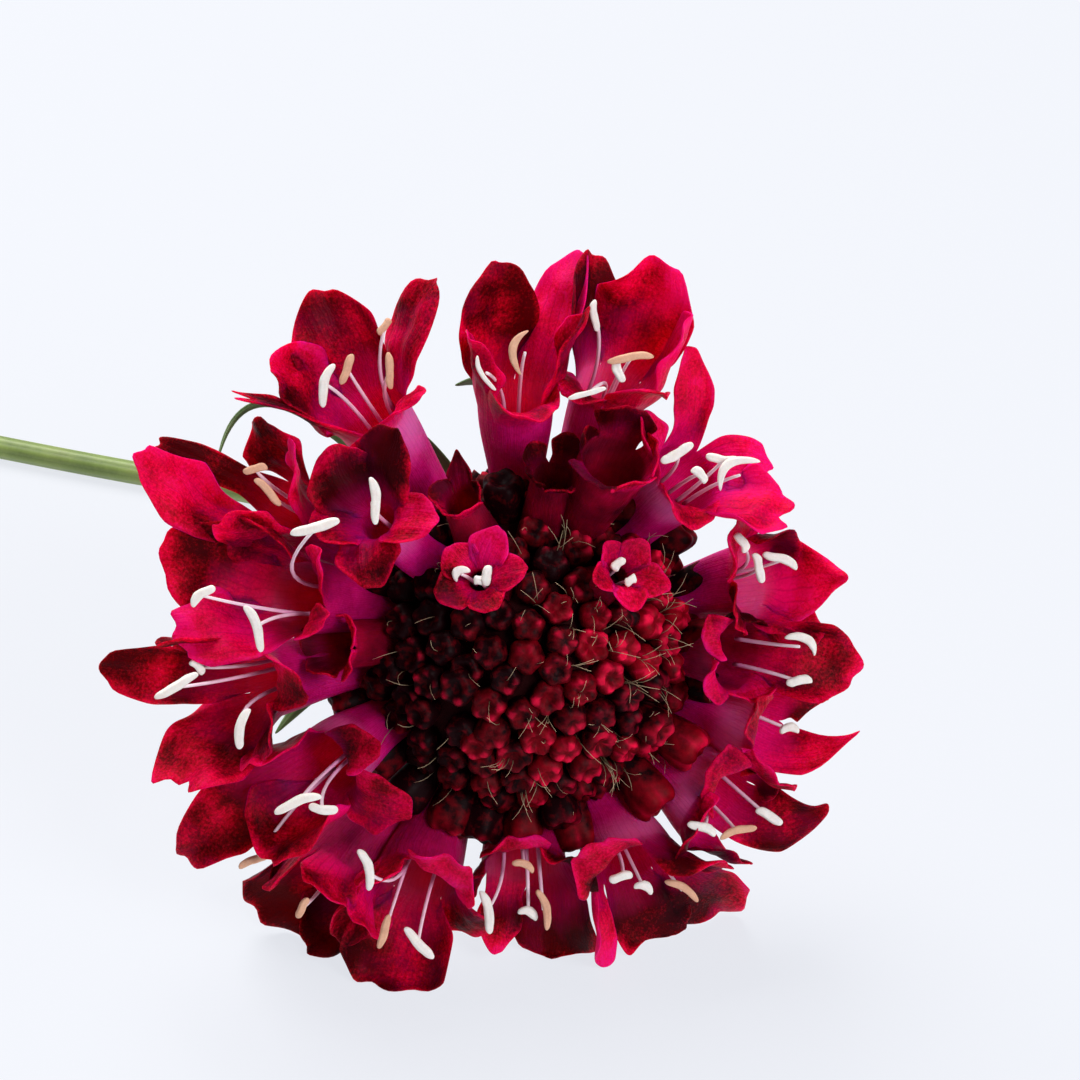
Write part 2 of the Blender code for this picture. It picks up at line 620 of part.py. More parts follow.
def largest_shell(piece):
    """Drops every loose scrap and sealed hollow: all shells of a mesh but the one with most faces.

    Scraps that only touch the rest along one edge count as loose.
    """
    shape = bmesh.new()
    shape.from_mesh(piece.data)
    bmesh.ops.triangulate(shape, faces=shape.faces)
    left = set(shape.faces)
    shells = []
    while left:
        shell = [left.pop()]
        for face in shell:
            for edge in face.edges:
                near = left.intersection(edge.link_faces) if len(edge.link_faces) == 2 else set()
                shell.extend(near)
                left -= near
        shells.append(shell)
    shells.sort(key=len)
    bmesh.ops.delete(shape, geom=[face for shell in shells[:-1] for face in shell], context="FACES")
    part_touching(shape)
    shape.to_mesh(piece.data)
    shape.free()


def part_touching(shape):
    """Sinks one of each two points that lie in the same place, so that walls don't touch along an edge."""
    shape.normal_update()
    taken = set()
    for vertex in shape.verts:
        spot = tuple(round(value / TOUCH) for value in vertex.co)
        if spot in taken:
            vertex.co -= vertex.normal * PARTING
        taken.add(spot)


def fused(core, pieces, name):
    """One solid from the core and the pieces."""
    group = bpy.data.collections.new(name + "_pieces")
    bpy.context.scene.collection.children.link(group)
    for piece in pieces:
        for holder in list(piece.users_collection):
            holder.objects.unlink(piece)
        group.objects.link(piece)
    union = core.modifiers.new("union", "BOOLEAN")
    union.operation = "UNION"
    union.operand_type = "COLLECTION"
    union.collection = group
    union.solver = "MANIFOLD"
    bpy.context.view_layer.update()
    whole = as_plain_mesh(core)
    whole.name = name
    whole.data.name = name
    for piece in pieces:
        bpy.data.objects.remove(piece)
    bpy.data.collections.remove(group)
    largest_shell(whole)
    return whole


def finish(node, colour, roughness):
    """Gives a node its plain Principled material."""
    made = bpy.data.materials.new(node.name)
    made.use_nodes = True
    shader = made.node_tree.nodes["Principled BSDF"]
    shader.inputs["Base Color"].default_value = (*colour, 1.0)
    shader.inputs["Roughness"].default_value = roughness
    shader.inputs["Metallic"].default_value = 0.0
    node.data.materials.clear()
    node.data.materials.append(made)
    return node


def trimmed(piece, cutter_size=0.4):
    """The piece with all that lies below the surface cut off, so that it rests on flat spots."""
    bpy.ops.mesh.primitive_cube_add(size=cutter_size, location=(0.0, 0.0, -0.5 * cutter_size))
    cutter = bpy.context.active_object
    cut = piece.modifiers.new("trim", "BOOLEAN")
    cut.operation = "DIFFERENCE"
    cut.object = cutter
    cut.solver = "MANIFOLD"
    bpy.context.view_layer.update()
    name = piece.name
    whole = as_plain_mesh(piece)
    whole.name = name
    bpy.data.objects.remove(cutter)
    largest_shell(whole)
    return whole


def make_flower_head():
    """The dome, its buds, all florets and their stamens, fused into one solid."""
    pieces = []
    for number, floret in enumerate(FLORETS + YOUNG_FLORETS):
        pieces.append(make_corolla(f"floret_{number}", floret))
        pieces += make_stamens(f"floret_{number}", floret)
    for number, (azimuth, polar) in enumerate(bud_places()):
        pieces.append(make_bud(f"bud_{number}", azimuth, polar, 1.0))
    for number, (azimuth, polar, scale) in enumerate(LARGE_BUDS):
        pieces.append(make_bud(f"large_bud_{number}", azimuth, polar, scale))
    head = trimmed(fused(make_dome(), pieces, "flower_head"))
    return finish(head, *PETAL_FINISH)


def make_cup():
    """The green receptacle behind the dome, a turned cup without a hollow."""
    shape = bmesh.new()
    depth = CUP_FRONT - CUP_BACK
    bmesh.ops.create_cone(
        shape, cap_ends=True, segments=CUP_SIDES, radius1=CUP_BACK_RADIUS, radius2=CUP_RADIUS, depth=depth
    )
    for vertex in shape.verts:
        middle = np.array(vertex.co) + np.array([0.0, 0.0, 0.5 * (CUP_FRONT + CUP_BACK)])
        vertex.co = in_head(middle)
    return mesh_object(shape, "cup")


def make_bract(name, bract):
    """One narrow, pointed bract that leaves the cup and bends outwards."""
    root = HEAD_CENTRE + BRACT_ROOT * direction(bract.azimuth, 90.0) + HEAD_AXIS * (CUP_FRONT - BRACT_SINK)
    tip = place(bract.azimuth + bract.sweep, bract.tip_polar, bract.length)
    bend_azimuth = bract.azimuth - BRACT_COUNTER_SWEEP * bract.sweep
    bend = root + BRACT_PULL * bract.length * MM * direction(bend_azimuth, bract.polar)
    sheet = grid_sheet(2, BRACT_ROWS)
    for vertex in sheet.verts:
        share = vertex.co.y / BRACT_ROWS
        offset = vertex.co.x - 1.0
        centre, tangent = bezier(root, bend, tip, share)
        lateral = unit(np.cross(HEAD_AXIS, tangent))
        half = 0.5 * bract.width * MM * (1.0 - BRACT_TAPER * share ** BRACT_TAPER_POWER)
        keel = np.cross(tangent, lateral) * half * BRACT_KEEL * abs(offset)
        vertex.co = centre + lateral * half * offset - keel
    return finish_sheet(sheet, name, BRACT_THICKNESS)


def make_involucre():
    """The cup and its bracts, fused into one solid."""
    pieces = [make_bract(f"bract_{number}", bract) for number, bract in enumerate(BRACTS)]
    return finish(fused(make_cup(), pieces, "involucre"), *BRACT_FINISH)


def smooth_route(knots, count):
    """That many points along a smooth curve through the knots, at even steps."""
    knots = np.array(knots)
    ends = np.vstack([2.0 * knots[0] - knots[1], knots, 2.0 * knots[-1] - knots[-2]])
    fine = []
    for k in range(len(knots) - 1):
        a, b, c, d = ends[k:k + 4]
        for share in np.linspace(0.0, 1.0, ROUTE_STEPS, endpoint=False):
            cubic = 2.0 * b + (c - a) * share
            cubic = cubic + (2.0 * a - 5.0 * b + 4.0 * c - d) * share ** 2
            cubic = cubic + (3.0 * b - a - 3.0 * c + d) * share ** 3
            fine.append(0.5 * cubic)
    fine = np.array(fine + [knots[-1]])
    steps = np.concatenate([[0.0], np.cumsum(np.linalg.norm(np.diff(fine, axis=0), axis=1))])
    even = np.linspace(0.0, steps[-1], count)
    return np.column_stack([np.interp(even, steps, fine[:, axis]) for axis in range(3)])


def make_stem():
    """The bare stem, from just behind the cup down to the surface and along it."""
    foot = HEAD_CENTRE * np.array([1.0, 1.0, 0.0])
    start = HEAD_CENTRE + HEAD_AXIS * (CUP_BACK - STEM_GAP)
    knots = [start, start - HEAD_AXIS * STEM_NECK] + [foot + np.array(knot) * MM for knot in STEM_ROUTE]
    points = smooth_route(knots, STEM_POINTS)
    stem = make_tube("stem", points, [STEM_RADIUS] * len(points), 2)
    return finish(stem, *STEM_FINISH)


def main():
    """Builds the flower's nodes in a collection of their own."""
    for old in list(bpy.data.objects):
        bpy.data.objects.remove(old)
    nodes = [make_flower_head(), make_involucre(), make_stem()]
    flower = bpy.data.collections.new("scabiosa_flower")
    bpy.context.scene.collection.children.link(flower)
    for node in nodes:
        for holder in list(node.users_collection):
            holder.objects.unlink(node)
        flower.objects.link(node)


main()
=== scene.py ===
"""The finished look of a cut scabiosa flower that lies on its side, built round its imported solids.

Each open floret is a waved corolla of its own, with filaments and anthers. The dome carries closed
buds in spirals and straw bristles. Behind it are a green cup with narrow bracts and a bare stem.

Units are metres. A place on the head is given by an azimuth round the head's axis, from its right
and anticlockwise as seen from the front, a polar angle from that axis, both in degrees, and a reach
from the head's centre in millimetres.
"""

from __future__ import annotations

import logging
import math
import random
from dataclasses import dataclass, field
from enum import Enum
from typing import Callable, Iterator, Sequence

import bpy
from mathutils import Matrix, Vector, noise

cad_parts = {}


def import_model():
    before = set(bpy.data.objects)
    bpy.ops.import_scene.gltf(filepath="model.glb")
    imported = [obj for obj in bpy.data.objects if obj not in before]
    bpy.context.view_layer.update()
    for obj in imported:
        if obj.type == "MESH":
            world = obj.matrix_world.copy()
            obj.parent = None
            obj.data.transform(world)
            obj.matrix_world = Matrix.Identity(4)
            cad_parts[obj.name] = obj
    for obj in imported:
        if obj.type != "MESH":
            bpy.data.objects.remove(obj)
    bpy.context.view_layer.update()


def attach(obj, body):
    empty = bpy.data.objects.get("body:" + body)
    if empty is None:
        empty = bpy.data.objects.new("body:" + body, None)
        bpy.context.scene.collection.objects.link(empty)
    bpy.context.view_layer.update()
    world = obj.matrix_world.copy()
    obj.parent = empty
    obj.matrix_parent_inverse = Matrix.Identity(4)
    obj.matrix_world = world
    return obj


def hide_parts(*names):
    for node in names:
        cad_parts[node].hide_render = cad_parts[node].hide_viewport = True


MM = 0.001
LOG = logging.getLogger("scabiosa")
BODY = "root"
GOLDEN_ANGLE = math.radians(137.508)

Colour = tuple[float, float, float]
Inputs = dict[int | str, object]
Waves = tuple[tuple[float, float, float], ...]


def eased(share: float) -> float:
    """A share from 0 to 1 with a slow start and a slow end."""
    share = min(max(share, 0.0), 1.0)
    return share * share * (3.0 - 2.0 * share)


def bezier(start: Vector, middle: Vector, end: Vector, share: float) -> tuple[Vector, Vector]:
    """A place on a quadratic curve.

    Args:
        start: where the curve starts.
        middle: the point that it bends towards.
        end: where it ends.
        share: how far along, from 0 to 1.

    Returns:
        The point and the unit tangent there.
    """
    rest = 1.0 - share
    point = start * (rest * rest) + middle * (2.0 * rest * share) + end * (share * share)
    tangent = (middle - start) * rest + (end - middle) * share
    return point, tangent.normalized()


def across(vector: Vector, axis: Vector) -> Vector:
    """The unit part of a vector that is square to a unit axis."""
    return (vector - axis * vector.dot(axis)).normalized()


class Slot(Enum):
    """The material slots that the pieces carry."""

    PETALS = "petals"
    BRACTS = "bracts"
    STEM = "stem"


class Node(Enum):
    """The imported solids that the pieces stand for."""

    HEAD = "flower_head"
    INVOLUCRE = "involucre"
    STEM = "stem"


class Wire:
    """A node's output socket that takes part in Python sums."""

    def __init__(self, sheet: NodeSheet, socket: bpy.types.NodeSocket) -> None:
        """Keeps the socket and the sheet that it belongs to."""
        self.sheet = sheet
        self.socket = socket

    def sum(self, operation: str, *values: Wire | float) -> Wire:
        """Adds one Math node for the values."""
        return self.sheet.node("ShaderNodeMath", {"operation": operation}, dict(enumerate(values)))

    def __add__(self, other: Wire | float) -> Wire:
        """This value plus another."""
        return self.sum("ADD", self, other)

    def __radd__(self, other: float) -> Wire:
        """A number plus this value."""
        return self.sum("ADD", other, self)

    def __sub__(self, other: Wire | float) -> Wire:
        """This value less another."""
        return self.sum("SUBTRACT", self, other)

    def __rsub__(self, other: float) -> Wire:
        """A number less this value."""
        return self.sum("SUBTRACT", other, self)

    def __mul__(self, other: Wire | float) -> Wire:
        """This value times another."""
        return self.sum("MULTIPLY", self, other)

    def __rmul__(self, other: float) -> Wire:
        """A number times this value."""
        return self.sum("MULTIPLY", other, self)

    def __pow__(self, power: float) -> Wire:
        """This value to a power."""
        return self.sum("POWER", self, power)

    def sine(self) -> Wire:
        """The sine of this value."""
        return self.sum("SINE", self)

    def size(self) -> Wire:
        """This value without its sign."""
        return self.sum("ABSOLUTE", self)

    def swing(self, width: float) -> Wire:
        """A noise turned into a swing about zero of that width."""
        return (self - 0.5) * width

    def clamped(self) -> Wire:
        """This value kept between 0 and 1."""
        return self.sheet.node("ShaderNodeClamp", {}, {0: self})

    def step(self, low: float, high: float) -> Wire:
        """A smooth step of this value from 0 at low to 1 at high."""
        inputs = {0: self, 1: low, 2: high, 3: 0.0, 4: 1.0}
        return self.sheet.node("ShaderNodeMapRange", {"interpolation_type": "SMOOTHSTEP"}, inputs)


class NodeSheet:
    """A material that is built node by node round one Principled shader."""

    def __init__(self, name: str) -> None:
        """Makes the material with its shader."""
        self.material = bpy.data.materials.new(name)
        self.material.use_nodes = True
        self.tree = self.material.node_tree
        self.shader = self.tree.nodes["Principled BSDF"]

    def node(
        self, kind: str, settings: dict[str, object], inputs: Inputs, output: int | str = 0,
    ) -> Wire:
        """Adds any node.

        Args:
            kind: the node's type.
            settings: its own properties, which are set first.
            inputs: what goes into its sockets, each a wire or a plain value.
            output: the socket that is handed back.

        Returns:
            The wire of that output.
        """
        made = self.tree.nodes.new(kind)
        for name, value in settings.items():
            setattr(made, name, value)
        for key, value in inputs.items():
            self.feed(made.inputs[key], value)
        return Wire(self, made.outputs[output])

    def feed(self, socket: bpy.types.NodeSocket, value: object) -> None:
        """Links a wire to a socket, or sets a plain value on it."""
        if isinstance(value, Wire):
            self.tree.links.new(value.socket, socket)
        elif isinstance(value, tuple) and len(value) == 3 and socket.type == "RGBA":
            socket.default_value = (*value, 1.0)
        else:
            socket.default_value = value

    def own_map(self, name: str) -> tuple[Wire, Wire]:
        """The two numbers of a piece's own UV map."""
        spot = self.node("ShaderNodeUVMap", {"uv_map": name}, {})
        outputs = self.node("ShaderNodeSeparateXYZ", {}, {0: spot}).socket.node.outputs
        return Wire(self, outputs[0]), Wire(self, outputs[1])

    def attribute(self, name: str) -> Wire:
        """A number that the mesh carries."""
        return self.node("ShaderNodeAttribute", {"attribute_name": name}, {}, "Fac")

    def noise(self, per_metre: float, detail: float = 3.0, rough: float = 0.55) -> Wire:
        """A noise from 0 to 1 with that many features to the metre, on Object coordinates."""
        place = self.node("ShaderNodeTexCoord", {}, {}, "Object")
        inputs = {"Vector": place, "Scale": per_metre, "Detail": detail, "Roughness": rough}
        return self.node("ShaderNodeTexNoise", {}, inputs)

    def mix(self, factor: Wire | float, low: Wire | Colour, high: Wire | Colour) -> Wire:
        """A colour between two, by a factor from 0 to 1."""
        return self.node("ShaderNodeMix", {"data_type": "RGBA"}, {0: factor, 6: low, 7: high}, 2)

    def ramp(self, factor: Wire, stops: Sequence[tuple[float, Colour]]) -> Wire:
        """A colour read from a ramp.

        Args:
            factor: where on the ramp, from 0 to 1.
            stops: the places of its colours and the colours.

        Returns:
            The colour at that place.
        """
        made = self.node("ShaderNodeValToRGB", {}, {0: factor})
        elements = made.socket.node.color_ramp.elements
        while len(elements) < len(stops):
            elements.new(0.5)
        for element, (position, colour) in zip(elements, stops):
            element.position = position
            element.color = (*colour, 1.0)
        return made

    def bump(self, height: Wire, strength: float, depth: float) -> None:
        """Gives the shader a relief of that depth in metres."""
        inputs = {"Strength": strength, "Distance": depth, "Height": height}
        self.feed(self.shader.inputs["Normal"], self.node("ShaderNodeBump", {}, inputs))

    def finish(self, **values: object) -> bpy.types.Material:
        """Sets the shader's sockets, whose spaces are written as underscores."""
        for name, value in values.items():
            self.feed(self.shader.inputs[name.replace("_", " ")], value)
        return self.material


@dataclass(frozen=True)
class PetalFinish:
    """The skin of the corollas: dark wine to magenta lobes on a purple tube, with fine veins."""

    name: str = "petal"
    deep: Colour = (0.03, 0.0, 0.002)
    wine: Colour = (0.15, 0.0, 0.006)
    crimson: Colour = (0.44, 0.0, 0.02)
    scarlet: Colour = (0.8, 0.001, 0.062)
    flame: Colour = (0.96, 0.004, 0.15)
    magenta: Colour = (0.84, 0.001, 0.19)
    plum: Colour = (0.46, 0.0, 0.1)
    rose: Colour = (0.94, 0.012, 0.32)
    lilac: Colour = (0.93, 0.14, 0.46)
    marks: tuple[float, ...] = (0.0, 0.22, 0.45, 0.72, 1.0)
    broad_scale: float = 150.0
    blush_scale: float = 230.0
    fan_scale: float = 300.0
    patch_scale: float = 420.0
    grain_scale: float = 3800.0
    vein_count: float = 7.0
    turn: tuple[float, float] = (0.32, 0.7)
    relief: float = 0.16 * MM
    glow: float = 0.7
    glow_depth: float = 1.0 * MM

    def build(self) -> bpy.types.Material:
        """Makes the material from the piece's map and its numbers for tone with painted shade and light,
        for how purple the tube is, and for the inside.
        """
        sheet = NodeSheet(self.name)
        side, along = sheet.own_map("petal")
        tone = sheet.attribute("tone")
        broad = sheet.noise(self.broad_scale, 2.0)
        patch = sheet.noise(self.patch_scale, 4.0)
        grain = sheet.noise(self.grain_scale, 2.0, 0.7)

        # The lobes: a tone in patches that carries painted shade and light, a painted highlight along the
        # rim and tip, and a magenta blush near the mouth
        spread = (side * 2.0 - 1.0).size()
        rim = (spread.step(0.72, 1.0) + along.step(0.9, 1.0)).clamped() * along.step(0.45, 0.7)
        light = tone - 0.17 + broad.swing(2.2) + patch.swing(0.7) + rim * 0.26 + grain.swing(0.9)
        shades = (self.deep, self.wine, self.crimson, self.scarlet, self.flame)
        lobe = sheet.ramp(light.clamped(), tuple(zip(self.marks, shades)))
        blush = (1.0 - along.step(0.45, 0.85)) * 0.45 + sheet.noise(self.blush_scale, 2.0).swing(1.4)
        lobe = sheet.mix((blush * (tone + 0.15)).clamped(), lobe, self.magenta)
        fan = side + sheet.noise(self.fan_scale, 3.0).swing(0.22)
        veins = (1.0 - (fan * (self.vein_count * math.pi)).sine().size()).step(0.6, 1.0)
        fade = along.step(0.3, 0.45) * (1.0 - along.step(0.7, 1.0) * 0.8)
        lobe = sheet.mix(veins * fade * (patch * 0.5), lobe, self.deep)

        # The tube: plum to rose in streaks, with a pale throat inside that is partly its own colour and
        # partly painted light shining through the wall
        streak = (1.0 - (fan * (3.0 * self.vein_count * math.pi)).sine().size()) * 0.5
        skin = (patch * 1.5 - 0.5 + streak * 0.5 + grain.swing(0.8)).clamped()
        tube = sheet.mix(skin * (0.35 + 0.65 * along.step(0.0, 0.3)), self.plum, self.rose)
        throat = along.step(0.24, 0.4) * (1.0 - along.step(0.4, 0.58)) * (patch * 1.2 + 0.3)
        tube = sheet.mix((throat * sheet.attribute("inside")).clamped(), tube, self.lilac)
        tube = sheet.mix(veins * along.step(0.1, 0.3) * (patch * 0.35), tube, self.plum)
        # Where the floret's purple share is low the tube turns dark crimson: its own colour on young
        # florets, partly painted shade on open florets that lie in shadow
        dusk = sheet.mix((patch * 1.3 - 0.35).clamped(), self.deep, self.crimson)
        tube = sheet.mix(sheet.attribute("ripe"), dusk, tube)
        colour = sheet.mix((along + patch.swing(0.2)).step(*self.turn), tube, lobe)
        sheet.bump(veins * (-0.4) + grain * 0.7 + patch * 0.8 + streak * 0.5, 0.55, self.relief)
        return sheet.finish(
            Base_Color=colour, Roughness=0.38 + patch * 0.2, Subsurface_Weight=self.glow,
            Subsurface_Radius=(1.0, 0.05, 0.2), Subsurface_Scale=self.glow_depth,
            Specular_IOR_Level=0.04,
        )


@dataclass(frozen=True)
class BudFinish:
    """Closed buds: dark crimson, with painted highlights along the edges of their folded lobes and painted
    shade where their tone is low.
    """

    name: str = "bud"
    deep: Colour = (0.008, 0.0, 0.001)
    wine: Colour = (0.3, 0.0, 0.008)
    # The colour of the painted highlights
    edge: Colour = (0.95, 0.006, 0.06)
    patch_scale: float = 1100.0
    relief: float = 0.15 * MM
    glow_depth: float = 0.5 * MM

    def build(self) -> bpy.types.Material:
        """Makes the material from the piece's numbers for its painted highlights and for its tone with
        painted shade and light.
        """
        sheet = NodeSheet(self.name)
        rim = sheet.attribute("rim")
        tone = sheet.attribute("tone")
        patch = sheet.noise(self.patch_scale, 3.0)
        # Painted shade and light: the body goes from deep to wine with the tone
        light = (tone * 0.9 + (patch - 0.58) * 1.5).clamped()
        body = sheet.mix(light, self.deep, self.wine)
        # Painted highlights in the edge colour along the lips and seams
        lit = (rim.step(0.1, 0.75) * (0.2 + tone) * (patch * 1.7)).clamped()
        sheet.bump(patch, 0.5, self.relief)
        return sheet.finish(
            Base_Color=sheet.mix(lit, body, self.edge), Roughness=0.42 + patch * 0.25,
            Subsurface_Weight=0.1, Subsurface_Radius=(1.0, 0.1, 0.2),
            Subsurface_Scale=self.glow_depth, Specular_IOR_Level=0.06,
        )


@dataclass(frozen=True)
class DomeFinish:
    """The dome's skin between its buds, near-black as painted shade in the gaps."""

    name: str = "dome"
    dark: Colour = (0.006, 0.001, 0.001)
    light: Colour = (0.035, 0.002, 0.004)
    patch_scale: float = 900.0
    relief: float = 0.3 * MM

    def build(self) -> bpy.types.Material:
        """Makes the material."""
        sheet = NodeSheet(self.name)
        patch = sheet.noise(self.patch_scale, 3.0)
        colour = sheet.mix(patch, self.dark, self.light)
        sheet.bump(patch, 0.6, self.relief)
        return sheet.finish(
            Base_Color=colour, Roughness=0.7 + patch * 0.1, Specular_IOR_Level=0.05,
        )


@dataclass(frozen=True)
class AntherFinish:
    """The skin of an anther: powdery, of one pale colour with darker specks."""

    name: str
    pale: Colour
    shade: Colour
    patch_scale: float = 1400.0
    speck_scale: float = 7000.0
    relief: float = 0.08 * MM
    glow_depth: float = 0.4 * MM

    def build(self) -> bpy.types.Material:
        """Makes the material."""
        sheet = NodeSheet(self.name)
        patch = sheet.noise(self.patch_scale, 4.0)
        speck = sheet.noise(self.speck_scale, 2.0)
        colour = sheet.mix((patch * 0.9 + speck * 0.6 - 0.45).clamped(), self.pale, self.shade)
        sheet.bump(speck + patch, 0.35, self.relief)
        return sheet.finish(
            Base_Color=colour, Roughness=0.6 + speck * 0.2, Subsurface_Weight=0.2,
            Subsurface_Radius=(1.0, 0.7, 0.5), Subsurface_Scale=self.glow_depth,
        )


@dataclass(frozen=True)
class StrandFinish:
    """A thin strand that changes colour from its root to its tip."""

    name: str
    root: Colour
    tip: Colour
    onset: float = 1.0
    roughness: float = 0.45
    patch_scale: float = 1200.0

    def build(self) -> bpy.types.Material:
        """Makes the material from the piece's number along."""
        sheet = NodeSheet(self.name)
        along = sheet.attribute("along")
        patch = sheet.noise(self.patch_scale, 2.0)
        share = (along ** self.onset + patch.swing(0.5)).clamped()
        colour = sheet.mix(share, self.root, self.tip)
        return sheet.finish(Base_Color=colour, Roughness=self.roughness + patch * 0.1)


@dataclass(frozen=True)
class GreenFinish:
    """The skin of a green part: two greens in lengthwise lines and patches, with a dull bloom."""

    name: str
    dark: Colour
    light: Colour
    tinge: Colour
    line_count: float
    roughness: float
    broad_scale: float = 90.0
    patch_scale: float = 220.0
    grain_scale: float = 3200.0
    relief: float = 0.06 * MM
    glow_depth: float = 0.5 * MM

    def build(self) -> bpy.types.Material:
        """Makes the material from the piece's own map."""
        sheet = NodeSheet(self.name)
        side, _ = sheet.own_map("skin")
        patch = sheet.noise(self.patch_scale, 4.0)
        grain = sheet.noise(self.grain_scale, 2.0, 0.7)
        lines = ((side + patch.swing(0.02)) * (self.line_count * math.pi)).sine().size()
        share = (patch * 1.5 - 0.35 + lines * 0.3 + grain.swing(0.4)).clamped()
        base = sheet.mix(share, self.dark, self.light)
        tinged = sheet.noise(self.broad_scale, 2.0).step(0.5, 0.8) * 0.4
        sheet.bump(lines * 0.7 + grain * 0.4, 0.4, self.relief)
        return sheet.finish(
            Base_Color=sheet.mix(tinged, base, self.tinge), Roughness=self.roughness + grain * 0.15,
            Subsurface_Weight=0.1, Subsurface_Radius=(0.6, 1.0, 0.3),
            Subsurface_Scale=self.glow_depth, Sheen_Weight=0.1,
        )


@dataclass(frozen=True)
class FloorFinish:
    """A pale, smooth tabletop."""

    name: str = "tabletop"
    colour: Colour = (0.1, 0.102, 0.105)
    shade: float = 0.985
    glow: Colour = (0.895, 0.92, 0.985)
    glow_strength: float = 0.81
    patch_scale: float = 60.0
    grain_scale: float = 900.0
    relief: float = 0.1 * MM

    def build(self) -> bpy.types.Material:
        """Makes the material."""
        sheet = NodeSheet(self.name)
        patch = sheet.noise(self.patch_scale, 4.0)
        darker = tuple(value * self.shade for value in self.colour)
        colour = sheet.mix(patch, darker, self.colour)
        sheet.bump(sheet.noise(self.grain_scale, 3.0), 0.05, self.relief)
        return sheet.finish(
            Base_Color=colour, Roughness=0.62 + patch * 0.05, Specular_IOR_Level=0.2,
            Emission_Color=self.glow, Emission_Strength=self.glow_strength,
        )


class Bench:
    """The modelling operators, each on one object alone."""

    @staticmethod
    def only(piece: bpy.types.Object) -> None:
        """Makes the piece the one selected and active object."""
        bpy.ops.object.select_all(action="DESELECT")
        piece.select_set(True)
        bpy.context.view_layer.objects.active = piece

    @staticmethod
    def added(name: str) -> bpy.types.Object:
        """Names the object that an operator has just made."""
        piece = bpy.context.active_object
        piece.name = name
        piece.data.name = name
        return piece

    @classmethod
    def grid(cls, name: str, columns: int, rows: int) -> bpy.types.Object:
        """A flat grid.

        Args:
            name: the object's name.
            columns: how many faces it has across.
            rows: how many faces it has along.

        Returns:
            The grid, whose points carry their column and row as x and y.
        """
        bpy.ops.object.select_all(action="DESELECT")
        bpy.ops.mesh.primitive_grid_add(x_subdivisions=columns, y_subdivisions=rows, size=2.0)
        piece = cls.added(name)
        for vertex in piece.data.vertices:
            vertex.co.x = round((vertex.co.x + 1.0) * 0.5 * columns)
            vertex.co.y = round((vertex.co.y + 1.0) * 0.5 * rows)
        return piece

    @classmethod
    def ball(cls, name: str, sides: int, rings: int) -> bpy.types.Object:
        """A ball of radius 1 round the origin."""
        bpy.ops.object.select_all(action="DESELECT")
        bpy.ops.mesh.primitive_uv_sphere_add(segments=sides, ring_count=rings, radius=1.0)
        return cls.added(name)

    @classmethod
    def rod(cls, name: str, sides: int, rows: int) -> bpy.types.Object:
        """A rod of radius 1 with capped ends.

        Args:
            name: the object's name.
            sides: how many sides it has.
            rows: how many rows of faces it has.

        Returns:
            The rod, whose points carry their row, from 0 to rows, as z.
        """
        bpy.ops.object.select_all(action="DESELECT")
        bpy.ops.mesh.primitive_circle_add(vertices=sides, radius=1.0, fill_type="NGON")
        piece = cls.added(name)
        bpy.ops.object.mode_set(mode="EDIT")
        for _ in range(rows):
            bpy.ops.mesh.extrude_region_move(TRANSFORM_OT_translate={"value": (0.0, 0.0, 1.0)})
        bpy.ops.mesh.select_all(action="SELECT")
        bpy.ops.mesh.normals_make_consistent(inside=False)
        bpy.ops.object.mode_set(mode="OBJECT")
        return piece

    @classmethod
    def split(cls, piece: bpy.types.Object, chosen: Callable[[Vector, Vector], bool]) -> None:
        """Parts the mesh along the edges whose two ends are chosen."""
        cls.only(piece)
        bpy.ops.object.mode_set(mode="EDIT")
        bpy.ops.mesh.select_all(action="DESELECT")
        bpy.ops.mesh.select_mode(type="EDGE")
        bpy.ops.object.mode_set(mode="OBJECT")
        points = [vertex.co.copy() for vertex in piece.data.vertices]
        for edge in piece.data.edges:
            first, second = edge.vertices
            edge.select = chosen(points[first], points[second])
        bpy.ops.object.mode_set(mode="EDIT")
        bpy.ops.mesh.edge_split(type="EDGE")
        bpy.ops.mesh.select_mode(type="VERT")
        bpy.ops.object.mode_set(mode="OBJECT")

    @classmethod
    def closed(cls, piece: bpy.types.Object, near: float = 0.001 * MM) -> None:
        """Merges the points that meet and turns all faces out."""
        cls.only(piece)
        bpy.ops.object.mode_set(mode="EDIT")
        bpy.ops.mesh.select_all(action="SELECT")
        bpy.ops.mesh.remove_doubles(threshold=near)
        bpy.ops.mesh.normals_make_consistent(inside=False)
        bpy.ops.object.mode_set(mode="OBJECT")

    @classmethod
    def walled(cls, piece: bpy.types.Object, thickness: float) -> None:
        """Gives an open sheet its thickness, half on each side."""
        cls.only(piece)
        wall = piece.modifiers.new("wall", "SOLIDIFY")
        wall.thickness = thickness
        wall.offset = 0.0
        bpy.ops.object.modifier_apply(modifier=wall.name)

    @classmethod
    def rounded(cls, piece: bpy.types.Object, levels: int) -> None:
        """Rounds a mesh off by subdivision and shades it smooth."""
        cls.only(piece)
        if levels:
            soft = piece.modifiers.new("soft", "SUBSURF")
            soft.levels = levels
            soft.render_levels = levels
            bpy.ops.object.modifier_apply(modifier=soft.name)
        bpy.ops.object.shade_smooth()

    @classmethod
    def joined(cls, pieces: Sequence[bpy.types.Object], name: str) -> bpy.types.Object:
        """Joins pieces into one object."""
        bpy.ops.object.select_all(action="DESELECT")
        for piece in pieces:
            piece.select_set(True)
        bpy.context.view_layer.objects.active = pieces[0]
        bpy.ops.object.join()
        return cls.added(name)

    @staticmethod
    def copied(piece: bpy.types.Object) -> bpy.types.Object:
        """A copy of the piece with a mesh of its own."""
        copy = piece.copy()
        copy.data = piece.data.copy()
        bpy.context.scene.collection.objects.link(copy)
        return copy

